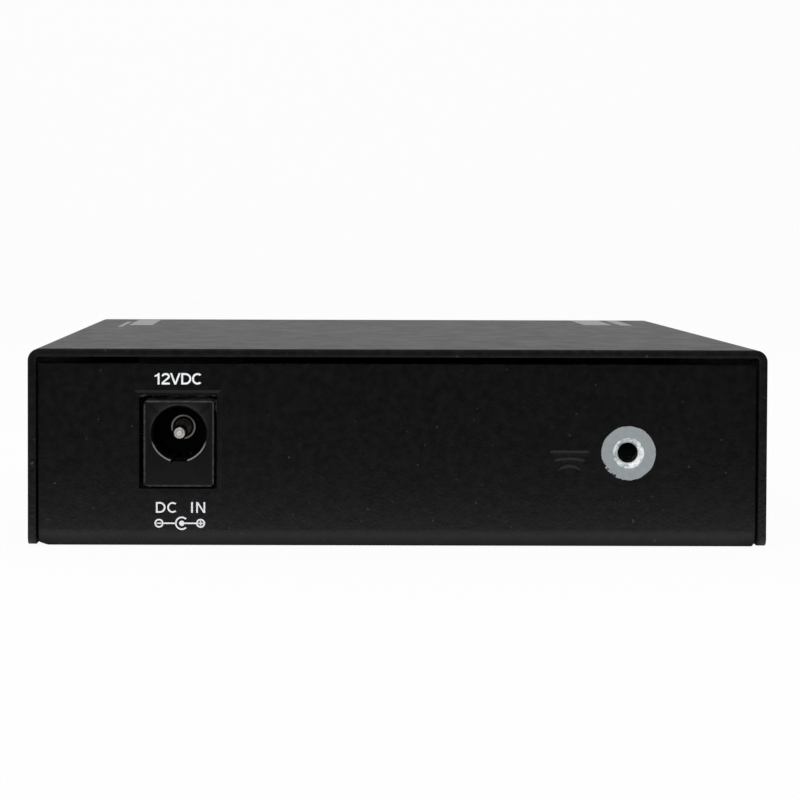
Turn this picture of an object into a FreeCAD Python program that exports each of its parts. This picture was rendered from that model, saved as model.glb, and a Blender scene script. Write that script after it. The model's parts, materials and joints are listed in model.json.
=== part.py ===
"""Fibre media converter: a small folded-steel box that joins a copper network lead to a fibre pair.

All sizes are in millimetres. The origin is under the middle of the box, on the plane it stands on.
+Z is up, -Y is the rear panel with the power socket and the earth nut, and +Y is the front panel
with the network socket, the fibre ports, the mode switches and the lamps.
"""

import FreeCAD, Part
import math
import os

# ---------------------------------------------------------------- driving dimensions

WIDTH = 94.0
DEPTH = 70.0
HEIGHT = 25.5
SHEET = 1.0

# The cover: a sheet folded down over both sides.
COVER_BEND = 1.5
COVER_RAISED = 0.45
COVER_CORNER = 1.0

# The base tray: a floor with the two panels and two low side flanges folded up from it.
PANEL_INSET = 0.5
PANEL_SIDE_GAP = 0.25
PANEL_TOP = 23.6
TRAY_BEND = 2.4
FLANGE_HALF_LENGTH = 28.0
FLANGE_TOP = 9.5
RELIEF = 1.5
CORNER_NOTCH_WIDTH = 1.2
CORNER_NOTCH_HEIGHT = 0.65
SOCKET_MARGIN = 0.2

INNER_HALF_WIDTH = WIDTH / 2 - SHEET
PANEL_HALF_WIDTH = INNER_HALF_WIDTH - PANEL_SIDE_GAP
REAR_FACE = -DEPTH / 2 + PANEL_INSET
FRONT_FACE = DEPTH / 2 - PANEL_INSET
REAR_INSIDE = REAR_FACE + SHEET
FRONT_INSIDE = FRONT_FACE - SHEET
PORT_FACE = FRONT_FACE + 0.4

# Air slots in each side of the cover: staggered rows of slots with round ends.
SLOT_LENGTH = 8.4
SLOT_HEIGHT = 1.8
SLOT_PITCH = 10.8
SLOT_ROWS = 2
SLOT_COLUMNS = 4
SLOT_ROW_PITCH = 4.6
SLOT_LOWEST = 12.3

# M3 screws. The thread itself is left off, so shanks and holes are plain.
M3_SHANK = 1.45
M3_HOLE = 1.5
M3_TAPPED = 1.25
CSK_HEAD = 2.5
COVER_SCREW_LENGTH = 5.0
COVER_SCREW_Y = 20.0
COVER_SCREW_Z = 4.0
RECESS_DEPTH = 0.6
RECESS_REACH = 1.1
RECESS_BLADE = 0.3
CHEESE_HEAD = 2.75
CHEESE_HEIGHT = 1.8
CHEESE_SLOT_DEPTH = 0.9
CHEESE_SLOT_HALF_WIDTH = 0.35

# The circuit board and its posts.
BOARD_UNDER = 6.25
BOARD_SHEET = 1.6
BOARD_TOP = BOARD_UNDER + BOARD_SHEET
BOARD_HALF_WIDTH = 43.5
BOARD_HALF_LENGTH = 32.8
BOARD_HOLE = 1.6
POST_X = 39.5
POST_REAR_Y = -28.5
POST_FRONT_Y = 8.0
POST_RADIUS = 2.7
POST_SHANK = 2.1
POST_HOLE_FLOOR = SHEET + 0.5
PIN_BELOW_BOARD = 1.4
PIN_END = BOARD_UNDER - PIN_BELOW_BOARD
HALF_TAIL = 0.25

# Earth nut on the rear panel.
NUT_X = 29.5
NUT_Z = 12.3
NUT_SHANK = 2.0
NUT_HEAD = 3.15
NUT_HEAD_EDGE = 0.3
NUT_LENGTH = 3.2
NUT_CHAMFER = 0.6

# Power socket on the rear panel, with its pin, its rear blade and its spring leaf.
JACK_X = -27.85
JACK_WIDTH = 9.0
JACK_HEIGHT = 11.0
JACK_BLOCK = 3.4
JACK_LENGTH = 14.2
JACK_FACE = REAR_FACE + 0.1
JACK_REAR = JACK_FACE + JACK_LENGTH
JACK_BARREL = 4.2
JACK_CORNER = 0.5
JACK_BORE_Z = 14.6
JACK_BORE = 3.45
JACK_LEAD_IN = 0.4
JACK_BORE_DEPTH = 8.4
JACK_FLOOR = JACK_FACE + JACK_BORE_DEPTH
JACK_PIN = 1.0
JACK_PIN_RECESS = 0.8
JACK_PIN_DOME_STEPS = 4
JACK_COLLAR = 1.65
JACK_COLLAR_LENGTH = 0.7
JACK_GROOVE = 2.0
JACK_GROOVE_DROP = 0.15
JACK_TAIL = 0.8
JACK_OPENING_WIDTH = 9.9
JACK_OPENING_BOTTOM = 7.6
JACK_OPENING_TOP = 19.6
JACK_OPENING_X = -27.95
BLADE = 0.4
BLADE_WIDTH = 2.4
BLADE_ABOVE_PIN = 1.2
SPRING_WIDTH = 2.1
SPRING_RISE = 0.4
SPRING_TOP = JACK_BORE_Z - JACK_BORE + SPRING_RISE
SPRING_FRONT = JACK_FACE + JACK_BLOCK + 0.3
SPRING_ROOT = JACK_FLOOR - 0.6
SPRING_CREST_RUN = 1.6
SPRING_FRONT_DROP = 0.5
SPRING_ROOT_DROP = 0.6
SPRING_CHANNEL_DROP = 0.8

# Network socket: a moulding in a folded shield. The steps are each (width, height) of the opening.
RJ45_X = -30.0
RJ45_WIDTH = 16.0
RJ45_HEIGHT = 13.5
RJ45_LENGTH = 21.0
RJ45_SHIELD = 0.3
RJ45_SOCKET_WIDTH = 11.9
RJ45_SOCKET_HEIGHT = 7.4
RJ45_FLOOR = BOARD_TOP + 1.7
RJ45_SOCKET_DEPTH = 14.0
RJ45_STEPS = (
    (RJ45_SOCKET_WIDTH, RJ45_SOCKET_HEIGHT),
    (RJ45_SOCKET_WIDTH / 2, RJ45_SOCKET_HEIGHT + 1.5),
    (RJ45_SOCKET_WIDTH / 3.6, RJ45_SOCKET_HEIGHT + 2.9),
)
RJ45_MARGIN = 0.25
RJ45_FOOT_FRAME = 1.2
RJ45_TAB_START = 8.0
RJ45_TAB_LENGTH = 1.6
RJ45_WAYS = 8
RJ45_PITCH = 1.02
RJ45_WIRE = 0.4
RJ45_WIRE_THICK = 0.3
RJ45_WIRE_FRONT = 4.6
RJ45_WIRE_FRONT_RISE = 0.5
RJ45_WIRE_REAR_RISE = 3.4
RJ45_TAIL_BACK = 2.2
RJ45_TAIL_STAGGER = 2.54

# Fibre module: two ports side by side in one moulded body, with a clip and two tubes in each.
FIBRE_X = -1.0
FIBRE_WIDTH = 25.4
FIBRE_HEIGHT = 9.8
FIBRE_LENGTH = 39.6
FIBRE_REAR = PORT_FACE - FIBRE_LENGTH
FIBRE_NOSE = 15.0
FIBRE_NOSE_CORNER = 0.6
FIBRE_BODY_STEP = 0.4
FIBRE_GROOVE_LENGTH = 1.2
FIBRE_GROOVE_DEPTH = 1.8
FIBRE_PORT_PITCH = 12.7
FIBRE_PORT_WIDTH = 9.1
FIBRE_PORT_HEIGHT = 7.5
FIBRE_PORT_DEPTH = 13.5
FIBRE_PORT_Z = BOARD_TOP + FIBRE_HEIGHT / 2
FIBRE_PORT_FLOOR = PORT_FACE - FIBRE_PORT_DEPTH
FIBRE_KEY_WIDTH = 2.6
FIBRE_KEY_HEIGHT = 0.7
FIBRE_KEY_START = 4.0
FERRULE = 1.25
SLEEVE_RADIUS = 1.6
SLEEVE_LENGTH = 7.8
HOLDER_RADIUS = 2.3
HOLDER_LENGTH = 7.4
CLIP_HALF_WIDTH = 4.3
CLIP_HALF_HEIGHT = 3.4
CLIP_PLATE = 1.0
CLIP_ARM_LENGTH = 8.6
CLIP_ARM_HEIGHT = 3.6
CLIP_ARM_OUTSIDE = 4.0
CLIP_ARM_INSIDE = 3.2
CLIP_HOOK_REACH = 2.9
CLIP_HOOK_START = 1.2
CLIP_HOOK_END = 2.0
CLIP_TIP_SLOPE = 1.0
CLIP_TIP_EDGE = 0.3
FIBRE_PINS = 9
FIBRE_PIN_PITCH = 2.54
FIBRE_PIN_Y = FIBRE_REAR + 3.0
FIBRE_POST_X = 10.16
FIBRE_POST_Y = PORT_FACE - FIBRE_NOSE - 2.0
FIBRE_POST_RADIUS = 0.9

# Mode switches: a row of small levers in one body.
DIP_X = 23.0
DIP_WAYS = 4
DIP_PITCH = 2.54
DIP_WIDTH = 11.5
DIP_HEIGHT = 9.8
DIP_DEPTH = 6.2
DIP_FACE = FRONT_FACE - 0.1
DIP_CENTRE_Z = BOARD_TOP + DIP_HEIGHT / 2
DIP_LEVER_WIDTH = 1.2
DIP_LEVER_HEIGHT = 1.5
DIP_LEVER_ROUND = 0.2
DIP_TRAVEL = 1.8
DIP_SLACK = 0.15
DIP_LIP = 0.8
DIP_POCKET = 1.4
DIP_FOOT_MARGIN = 0.35
DIP_POCKET_MARGIN = 0.5
DIP_TAIL_Y = (DIP_FACE - 2.6, DIP_FACE - 5.2)

# Lamps: three two-high holders behind round holes.
LED_X = (32.6, 37.0, 41.4)
LED_Z = (11.3, 16.9)
LED_RADIUS = 1.5
LED_HOLE = 1.6
LED_LENGTH = 3.9
LED_DOME_STEPS = 3
HOLDER_WIDTH = 4.2
HOLDER_DEPTH = 5.0
HOLDER_HEIGHT = 12.6
HOLDER_EDGE = 0.4
HOLDER_FACE = FRONT_INSIDE - 0.1
HOLDER_BACK = HOLDER_FACE - HOLDER_DEPTH
LEAD_THICK = 0.5
LEAD_SPREAD = 0.6
LEAD_ROW_SPREAD = 0.75

# Parts on the board: places, sizes and leads.
CONVERTER_X, CONVERTER_Y, CONVERTER_SIDE = -11.0, -18.0, 14.0
CONVERTER_LEADS = 12
CONVERTER_PITCH = 1.0
MAGNETICS_X, MAGNETICS_Y, MAGNETICS_WIDTH, MAGNETICS_LENGTH = -28.5, 4.5, 12.7, 7.1
MAGNETICS_HEIGHT = 5.6
MAGNETICS_LEADS = 8
REGULATOR_X, REGULATOR_Y, REGULATOR_WIDTH, REGULATOR_LENGTH = 12.5, -12.0, 4.9, 3.9
REGULATOR_LEADS = 4
SMALL_PITCH = 1.27
CHIP_HEIGHT = 1.5
CHIP_EDGE = 0.3
LEAD_REACH = 1.0
LEAD_SHOULDER = 0.8
LEAD_SHEET = 0.15
LEAD_KNEE_SHARE = 0.4
LEAD_HEEL_SHARE = 0.3
LEAD_HALF_WIDTH = 0.16
CAN_PLACES = ((-36.5, -13.0), (-27.0, -13.0))
CAN_RADIUS = 3.6
CAN_HEIGHT = 9.6
CAN_EDGE = 0.4
CAN_GROOVE_LOW, CAN_GROOVE_HIGH, CAN_GROOVE_DEPTH = 1.1, 2.1, 0.35
INDUCTOR_X, INDUCTOR_Y, INDUCTOR_SIDE, INDUCTOR_HEIGHT = 20.0, -22.0, 7.0, 3.8
INDUCTOR_CORNER = 1.6
INDUCTOR_RING, INDUCTOR_CORE, INDUCTOR_RING_DEPTH = 2.9, 2.3, 0.5
CRYSTAL_X, CRYSTAL_Y, CRYSTAL_LENGTH, CRYSTAL_WIDTH, CRYSTAL_HEIGHT = 3.0, -13.5, 10.2, 3.8, 3.2
CRYSTAL_RIM, CRYSTAL_FOOT = 0.4, 0.5
DIODE_PLACES = ((-18.5, -29.0),)
DIODE_SIZE = (4.4, 2.6, 2.2)
CAPACITOR_PLACES = (
    tuple((22.0 + 3.2 * step, -13.0) for step in range(5))
    + ((-22.0, -8.5), (-22.0, -5.5), (16.0, -5.0))
)
CAPACITOR_SIZE = (2.0, 1.25, 1.0)
RESISTOR_PLACES = tuple((21.0 + 2.6 * step, y) for y in (6.0, 12.0) for step in range(6))
RESISTOR_SIZE = (1.6, 0.8, 0.45)

# How far a cutter runs past what it cuts, and how close an edge counts as being at a height.
PAST = 1.0
NEAR = 0.1

ALONG_X = FreeCAD.Vector(1, 0, 0)
ALONG_Y = FreeCAD.Vector(0, 1, 0)
ALONG_Z = FreeCAD.Vector(0, 0, 1)


# ---------------------------------------------------------------- shared shapes


def block(x_low, x_high, y_low, y_high, z_low, z_high):
    """A plain block between two corners."""
    corner = FreeCAD.Vector(x_low, y_low, z_low)
    return Part.makeBox(x_high - x_low, y_high - y_low, z_high - z_low, corner)


def standing_block(x, y, length, width, low, height):
    """A plain block centred over x, y, from a height up."""
    return block(x - length / 2, x + length / 2, y - width / 2, y + width / 2, low, low + height)


def rod(radius, start, end):
    """A round bar from one point to another."""
    start = FreeCAD.Vector(*start)
    run = FreeCAD.Vector(*end) - start
    return Part.makeCylinder(radius, run.Length, start, run)


def taper(radius_start, radius_end, start, end):
    """A cone frustum from one point to another."""
    start = FreeCAD.Vector(*start)
    run = FreeCAD.Vector(*end) - start
    return Part.makeCone(radius_start, radius_end, run.Length, start, run)


def merged(shapes):
    """One solid from shapes that touch or cross."""
    whole = shapes[0].multiFuse(shapes[1:])
    return whole.removeSplitter()


def prism(points, run):
    """A solid with a flat outline, carried along a vector."""
    face = Part.Face(Part.makePolygon(points + points[:1]))
    return face.extrude(run)


def turned(profile, centre, axis):
    """A solid turned about the line through centre along axis, from (radius, distance) points."""
    points = [centre + ALONG_X * radius + axis * distance for radius, distance in profile]
    face = Part.Face(Part.makePolygon(points + points[:1]))
    return face.revolve(centre, axis, 360)


def strip(points, x_middle, width):
    """A flat strip of the outline given in (y, z), as wide as stated along X."""
    outline = [FreeCAD.Vector(x_middle - width / 2, y, z) for y, z in points]
    return prism(outline, ALONG_X * width)


def quarter_round(radius, end, steps):
    """Points (radius, distance) of a dome whose top is at end and which widens with distance."""
    points = []
    for step in range(steps + 1):
        angle = math.radians(90.0 * step / steps)
        points.append((radius * math.sin(angle), end + radius * (1 - math.cos(angle))))
    return points


def rounded(solid, radius, chosen):
    """The solid with a round on each edge whose middle passes the test."""
    edges = [edge for edge in solid.Edges if chosen(edge.CenterOfMass, edge)]
    return solid.makeFillet(radius, edges)


def runs_along(edge, direction):
    """True for a straight edge in that direction."""
    if not isinstance(edge.Curve, Part.Line):
        return False
    return abs(abs(edge.Curve.Direction.dot(direction)) - 1) < 1e-6


# ---------------------------------------------------------------- sheet metal


def air_slots():
    """The air slots as one cutter that goes through both sides of the cover."""
    reach = WIDTH / 2 + PAST
    radius = SLOT_HEIGHT / 2
    half_straight = SLOT_LENGTH / 2 - radius
    cutters = []
    for row in range(SLOT_ROWS):
        z = SLOT_LOWEST + row * SLOT_ROW_PITCH
        shift = SLOT_PITCH / 4 if row % 2 else -SLOT_PITCH / 4
        for column in range(SLOT_COLUMNS):
            y = shift + (column - (SLOT_COLUMNS - 1) / 2) * SLOT_PITCH
            start, end = y - half_straight, y + half_straight
            cutters.append(merged([
                block(-reach, reach, start, end, z - radius, z + radius),
                rod(radius, (-reach, start, z), (reach, start, z)),
                rod(radius, (-reach, end, z), (reach, end, z)),
            ]))
    return Part.makeCompound(cutters)


def cover_screw_places():
    """Side, y and z of each screw that holds the cover."""
    return [(side, y, COVER_SCREW_Z) for side in (-1, 1) for y in (-COVER_SCREW_Y, COVER_SCREW_Y)]


def cover():
    """The folded cover: top and both sides, open below and at both ends."""
    outside = block(-WIDTH / 2, WIDTH / 2, -DEPTH / 2, DEPTH / 2, COVER_RAISED, HEIGHT)
    inside = block(-INNER_HALF_WIDTH, INNER_HALF_WIDTH, -DEPTH, DEPTH, -PAST, HEIGHT - SHEET)
    shell = outside.cut(inside)
    shell = rounded(shell, COVER_BEND, lambda c, e: runs_along(e, ALONG_Y) and c.z > HEIGHT - NEAR)
    shell = rounded(shell, COVER_BEND - SHEET,
                    lambda c, e: runs_along(e, ALONG_Y) and abs(c.z - HEIGHT + SHEET) < NEAR)
    shell = rounded(shell, COVER_CORNER,
                    lambda c, e: runs_along(e, ALONG_X) and c.z < COVER_RAISED + NEAR)
    shell = shell.cut(air_slots())
    for side, y, z in cover_screw_places():
        shell = shell.cut(taper(CSK_HEAD, M3_SHANK, (side * WIDTH / 2, y, z),
                                (side * INNER_HALF_WIDTH, y, z)))
    return shell


def tray_channel():
    """Floor, rear panel and front panel as one folded channel."""
    outside = block(-PANEL_HALF_WIDTH, PANEL_HALF_WIDTH, REAR_FACE, FRONT_FACE, 0, PANEL_TOP)
    inside = block(-WIDTH, WIDTH, REAR_INSIDE, FRONT_INSIDE, SHEET, HEIGHT)
    channel = outside.cut(inside)
    channel = rounded(channel, TRAY_BEND, lambda c, e: runs_along(e, ALONG_X) and c.z < NEAR)
    return rounded(channel, TRAY_BEND - SHEET,
                   lambda c, e: runs_along(e, ALONG_X) and abs(c.z - SHEET) < NEAR)


def side_flanges():
    """The two low flanges, folded up from the floor, that the cover is screwed to."""
    outside = block(-INNER_HALF_WIDTH, INNER_HALF_WIDTH, -FLANGE_HALF_LENGTH, FLANGE_HALF_LENGTH,
                    0, FLANGE_TOP)
    inner = INNER_HALF_WIDTH - SHEET
    inside = block(-inner, inner, -DEPTH, DEPTH, SHEET, HEIGHT)
    channel = outside.cut(inside)
    channel = rounded(channel, TRAY_BEND, lambda c, e: runs_along(e, ALONG_Y) and c.z < NEAR)
    channel = rounded(channel, TRAY_BEND - SHEET,
                      lambda c, e: runs_along(e, ALONG_Y) and abs(c.z - SHEET) < NEAR)
    return rounded(channel, COVER_CORNER,
                   lambda c, e: runs_along(e, ALONG_X) and c.z > FLANGE_TOP - NEAR)


def corner_notch():
    """The small slanted notch at the foot of the rear panel, on its left."""
    edge = -PANEL_HALF_WIDTH
    outline = [
        (edge - CORNER_NOTCH_WIDTH, -CORNER_NOTCH_HEIGHT),
        (edge + 2 * CORNER_NOTCH_WIDTH, -CORNER_NOTCH_HEIGHT),
        (edge - CORNER_NOTCH_WIDTH, 2 * CORNER_NOTCH_HEIGHT),
    ]
    points = [FreeCAD.Vector(x, REAR_FACE - PAST, z) for x, z in outline]
    return prism(points, ALONG_Y * (TRAY_BEND + 2 * PAST))


def panel_openings():
    """Cutters for everything that shows through the rear and the front panel."""
    half = JACK_OPENING_WIDTH / 2
    jack = block(JACK_OPENING_X - half, JACK_OPENING_X + half, REAR_FACE - PAST,
                 REAR_INSIDE + PAST, JACK_OPENING_BOTTOM, JACK_OPENING_TOP)
    nut = rod(NUT_SHANK, (NUT_X, REAR_FACE - PAST, NUT_Z), (NUT_X, REAR_INSIDE + PAST, NUT_Z))
    cutters = [jack, nut, corner_notch()]
    sockets = (
        (RJ45_X, RJ45_WIDTH, RJ45_HEIGHT),
        (FIBRE_X, FIBRE_WIDTH, FIBRE_HEIGHT),
        (DIP_X, DIP_WIDTH, DIP_HEIGHT),
    )
    for x, width, height in sockets:
        reach = width / 2 + SOCKET_MARGIN
        cutters.append(block(x - reach, x + reach, FRONT_INSIDE - PAST, FRONT_FACE + PAST,
                             BOARD_TOP - SOCKET_MARGIN, BOARD_TOP + height + SOCKET_MARGIN))
    for x, z in lamp_places():
        cutters.append(rod(LED_HOLE, (x, FRONT_INSIDE - PAST, z), (x, FRONT_FACE + PAST, z)))
    return cutters


def base_tray():
    """The folded base with all its openings."""
    bend_start = INNER_HALF_WIDTH - TRAY_BEND
    channel = tray_channel()
    relief_end = FLANGE_HALF_LENGTH + RELIEF
    for side in (-1, 1):
        low, high = sorted((side * bend_start, side * WIDTH))
        channel = channel.cut(block(low, high, -relief_end, relief_end, -PAST, SHEET + NEAR))
    tray = merged([channel, side_flanges()])
    for opening in panel_openings():
        tray = tray.cut(opening)
    for x, y in post_places():
        tray = tray.cut(rod(POST_SHANK, (x, y, -PAST), (x, y, SHEET + PAST)))
    for side, y, z in cover_screw_places():
        flange = INNER_HALF_WIDTH - SHEET
        tray = tray.cut(rod(M3_HOLE, (side * (flange - PAST), y, z), (side * WIDTH, y, z)))
    return tray


# ---------------------------------------------------------------- fasteners


def cover_screws():
    """Four countersunk screws with a cross recess, flush with the sides."""
    screws = []
    for side, y, z in cover_screw_places():
        head_face = side * WIDTH / 2
        seat = side * INNER_HALF_WIDTH
        tip = side * (WIDTH / 2 - COVER_SCREW_LENGTH)
        head = taper(CSK_HEAD, M3_SHANK, (head_face, y, z), (seat, y, z))
        shank = rod(M3_SHANK, (seat, y, z), (tip, y, z))
        low, high = sorted((side * (WIDTH / 2 - RECESS_DEPTH), side * (WIDTH / 2 + PAST)))
        upright = block(low, high, y - RECESS_BLADE, y + RECESS_BLADE,
                        z - RECESS_REACH, z + RECESS_REACH)
        level = block(low, high, y - RECESS_REACH, y + RECESS_REACH,
                      z - RECESS_BLADE, z + RECESS_BLADE)
        screws.append(merged([head, shank]).cut(merged([upright, level])))
    return Part.makeCompound(screws)


def post_places():
    """Where the board's four posts stand."""
    return [(x, y) for x in (-POST_X, POST_X) for y in (POST_REAR_Y, POST_FRONT_Y)]


def board_posts():
    """Four clinched posts, flush under the floor, with a blind screw hole."""
    profile = [
        (0, 0),
        (POST_SHANK, 0),
        (POST_SHANK, SHEET),
        (POST_RADIUS, SHEET),
        (POST_RADIUS, BOARD_UNDER),
        (M3_HOLE, BOARD_UNDER),
        (M3_HOLE, POST_HOLE_FLOOR),
        (0, POST_HOLE_FLOOR),
    ]
    return Part.makeCompound([turned(profile, FreeCAD.Vector(x, y, 0), ALONG_Z)
                              for x, y in post_places()])


def board_screws():
    """Four slotted cheese-head screws that hold the board on its posts."""
    top = BOARD_TOP + CHEESE_HEIGHT
    profile = [
        (0, BOARD_TOP - COVER_SCREW_LENGTH),
        (M3_SHANK, BOARD_TOP - COVER_SCREW_LENGTH),
        (M3_SHANK, BOARD_TOP),
        (CHEESE_HEAD, BOARD_TOP),
        (CHEESE_HEAD, top),
        (0, top),
    ]
    screws = []
    for x, y in post_places():
        screw = turned(profile, FreeCAD.Vector(x, y, 0), ALONG_Z)
        slot = block(x - CHEESE_HEAD, x + CHEESE_HEAD, y - CHEESE_SLOT_HALF_WIDTH,
                     y + CHEESE_SLOT_HALF_WIDTH, top - CHEESE_SLOT_DEPTH, top + PAST)
        screws.append(screw.cut(slot))
    return Part.makeCompound(screws)


def ground_nut():
    """The earth nut: a clinched shank through the panel and a round head inside."""
    outer = REAR_FACE
    inner = REAR_FACE + NUT_LENGTH
    mouth = M3_TAPPED + NUT_CHAMFER
    profile = [
        (M3_TAPPED, outer + NUT_CHAMFER),
        (mouth, outer),
        (NUT_SHANK, outer),
        (NUT_SHANK, REAR_INSIDE),
        (NUT_HEAD, REAR_INSIDE),
        (NUT_HEAD, inner - NUT_HEAD_EDGE),
        (NUT_HEAD - NUT_HEAD_EDGE, inner),
        (mouth, inner),
        (M3_TAPPED, inner - NUT_CHAMFER),
    ]
    return turned(profile, FreeCAD.Vector(NUT_X, 0, NUT_Z), ALONG_Y)


# ---------------------------------------------------------------- power socket


def dc_jack_housing(pin, contacts):
    """The power socket's moulding: a square front, a round barrel and the bore with its lead-in.

    A shallow groove runs along the bottom of the bore, and the lead-in stops on either side of it.
    """
    left = JACK_X - JACK_WIDTH / 2
    right = JACK_X + JACK_WIDTH / 2
    top = BOARD_TOP + JACK_HEIGHT
    block_end = JACK_FACE + JACK_BLOCK
    front = block(left, right, JACK_FACE, block_end, BOARD_TOP, top)
    front = rounded(front, JACK_CORNER, lambda c, e: runs_along(e, ALONG_Y))
    barrel_foot = block(JACK_X - JACK_BARREL, JACK_X + JACK_BARREL, block_end, JACK_REAR,
                        BOARD_TOP, JACK_BORE_Z)
    barrel = rod(JACK_BARREL, (JACK_X, block_end, JACK_BORE_Z), (JACK_X, JACK_REAR, JACK_BORE_Z))
    body = merged([front, barrel_foot, barrel])
    bore = rod(JACK_BORE, (JACK_X, JACK_FACE - PAST, JACK_BORE_Z),
               (JACK_X, JACK_FLOOR, JACK_BORE_Z))
    mouth = taper(JACK_BORE + JACK_LEAD_IN, JACK_BORE, (JACK_X, JACK_FACE, JACK_BORE_Z),
                  (JACK_X, JACK_FACE + JACK_LEAD_IN, JACK_BORE_Z))
    low_in_bore = JACK_BORE_Z - JACK_BORE / 2
    channel = block(JACK_X - BLADE_WIDTH / 2, JACK_X + BLADE_WIDTH / 2, block_end,
                    SPRING_ROOT - PAST, SPRING_TOP - SPRING_CHANNEL_DROP, low_in_bore)
    groove_left, groove_right = JACK_X - JACK_GROOVE / 2, JACK_X + JACK_GROOVE / 2
    groove = block(groove_left, groove_right, JACK_FACE - PAST, block_end,
                   JACK_BORE_Z - JACK_BORE - JACK_GROOVE_DROP, low_in_bore)
    mouth = mouth.cut(block(groove_left, groove_right, JACK_FACE - PAST, block_end,
                            BOARD_TOP, low_in_bore))
    body = body.cut(merged([bore, mouth]))
    return body.cut(groove).cut(channel).cut(pin).cut(contacts)


def dc_jack_pin():
    """The centre pin, turned with a round tip, a collar in the bore's floor and a rear tail."""
    tip = JACK_FACE + JACK_PIN_RECESS
    collar_front = JACK_FLOOR - JACK_COLLAR_LENGTH
    profile = quarter_round(JACK_PIN, tip, JACK_PIN_DOME_STEPS) + [
        (JACK_PIN, collar_front),
        (JACK_COLLAR, collar_front),
        (JACK_COLLAR, JACK_FLOOR + JACK_COLLAR_LENGTH),
        (JACK_TAIL, JACK_FLOOR + JACK_COLLAR_LENGTH),
        (JACK_TAIL, JACK_REAR),
        (0, JACK_REAR),
    ]
    return turned(profile, FreeCAD.Vector(JACK_X, 0, JACK_BORE_Z), ALONG_Y)


def dc_jack_contacts():
    """The socket's two terminals: the pin's rear blade and the spring leaf under the bore."""
    blade = block(JACK_X - BLADE_WIDTH / 2, JACK_X + BLADE_WIDTH / 2, JACK_REAR,
                  JACK_REAR + BLADE, PIN_END, JACK_BORE_Z + BLADE_ABOVE_PIN)
    front_top = SPRING_TOP - SPRING_FRONT_DROP
    root_top = SPRING_TOP - SPRING_ROOT_DROP
    crest = SPRING_FRONT + SPRING_CREST_RUN
    outline = [
        (SPRING_FRONT, front_top - BLADE),
        (SPRING_FRONT, front_top),
        (crest, SPRING_TOP),
        (SPRING_ROOT, root_top),
        (SPRING_ROOT, PIN_END),
        (SPRING_ROOT - BLADE, PIN_END),
        (SPRING_ROOT - BLADE, root_top - BLADE),
        (crest, SPRING_TOP - BLADE),
    ]
    return Part.makeCompound([blade, strip(outline, JACK_X, SPRING_WIDTH)])


# ---------------------------------------------------------------- network socket


def rj45_wires():
    """Eight sprung contact wires and their tails, one outline repeated across the socket."""
    back = PORT_FACE - RJ45_SOCKET_DEPTH
    front = PORT_FACE - RJ45_WIRE_FRONT
    front_low = RJ45_FLOOR + RJ45_WIRE_FRONT_RISE
    rear_low = RJ45_FLOOR + RJ45_WIRE_REAR_RISE
    bend = back + RJ45_WIRE_THICK * 3
    wires = []
    for way in range(RJ45_WAYS):
        x = RJ45_X + (way - (RJ45_WAYS - 1) / 2) * RJ45_PITCH
        tail = back - RJ45_TAIL_BACK
        if way % 2:
            tail -= RJ45_TAIL_STAGGER
        outline = [
            (front, front_low),
            (bend, rear_low),
            (tail, rear_low),
            (tail, PIN_END),
            (tail - RJ45_WIRE, PIN_END),
            (tail - RJ45_WIRE, rear_low + RJ45_WIRE_THICK),
            (bend, rear_low + RJ45_WIRE_THICK),
            (front, front_low + RJ45_WIRE_THICK),
        ]
        wires.append(strip(outline, x, RJ45_WIRE))
    return Part.makeCompound(wires)


def socket_steps(margin, y_low, y_high):
    """The stepped opening of the network socket as cutters, wider all round by a margin."""
    cutters = []
    for width, height in RJ45_STEPS:
        reach = width / 2 + margin
        cutters.append(block(RJ45_X - reach, RJ45_X + reach, y_low, y_high,
                             RJ45_FLOOR - margin, RJ45_FLOOR + height + margin))
    return cutters


def rj45_housing(wires):
    """The socket's moulding, with the stepped opening that takes the plug and its latch."""
    half = RJ45_WIDTH / 2 - RJ45_SHIELD
    back = PORT_FACE - RJ45_SOCKET_DEPTH
    body = block(RJ45_X - half, RJ45_X + half, PORT_FACE - RJ45_LENGTH + RJ45_SHIELD,
                 PORT_FACE - RJ45_SHIELD, BOARD_TOP, BOARD_TOP + RJ45_HEIGHT - RJ45_SHIELD)
    for step in socket_steps(0, back, PORT_FACE + PAST):
        body = body.cut(step)
    half_comb = RJ45_PITCH * (RJ45_WAYS - RJ45_WIRE) / 2
    comb = block(RJ45_X - half_comb, RJ45_X + half_comb, back, PORT_FACE - RJ45_WIRE_FRONT,
                 RJ45_FLOOR - RJ45_WIRE_THICK, RJ45_FLOOR + PAST)
    return body.cut(comb).cut(wires)


def rj45_shield():
    """The socket's folded metal shield: open below, with a framed front and two board tabs."""
    half = RJ45_WIDTH / 2
    inner = half - RJ45_SHIELD
    top = BOARD_TOP + RJ45_HEIGHT
    back = PORT_FACE - RJ45_LENGTH
    outside = block(RJ45_X - half, RJ45_X + half, back, PORT_FACE, BOARD_TOP, top)
    inside = block(RJ45_X - inner, RJ45_X + inner, back + RJ45_SHIELD, PORT_FACE - RJ45_SHIELD,
                   BOARD_TOP - PAST, top - RJ45_SHIELD)
    shell = outside.cut(inside)
    for step in socket_steps(RJ45_MARGIN, PORT_FACE - RJ45_SHIELD - NEAR, PORT_FACE + PAST):
        shell = shell.cut(step)
    foot = half - RJ45_FOOT_FRAME
    shell = shell.cut(block(RJ45_X - foot, RJ45_X + foot, PORT_FACE - RJ45_SHIELD - NEAR,
                            PORT_FACE + PAST, BOARD_TOP - PAST, BOARD_TOP + RJ45_FOOT_FRAME / 2))
    tab_start = back + RJ45_TAB_START
    tabs = []
    for side in (-1, 1):
        low, high = sorted((RJ45_X + side * half, RJ45_X + side * inner))
        tabs.append(block(low, high, tab_start, tab_start + RJ45_TAB_LENGTH,
                          PIN_END, BOARD_TOP + PAST))
    return merged([shell] + tabs)


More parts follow.
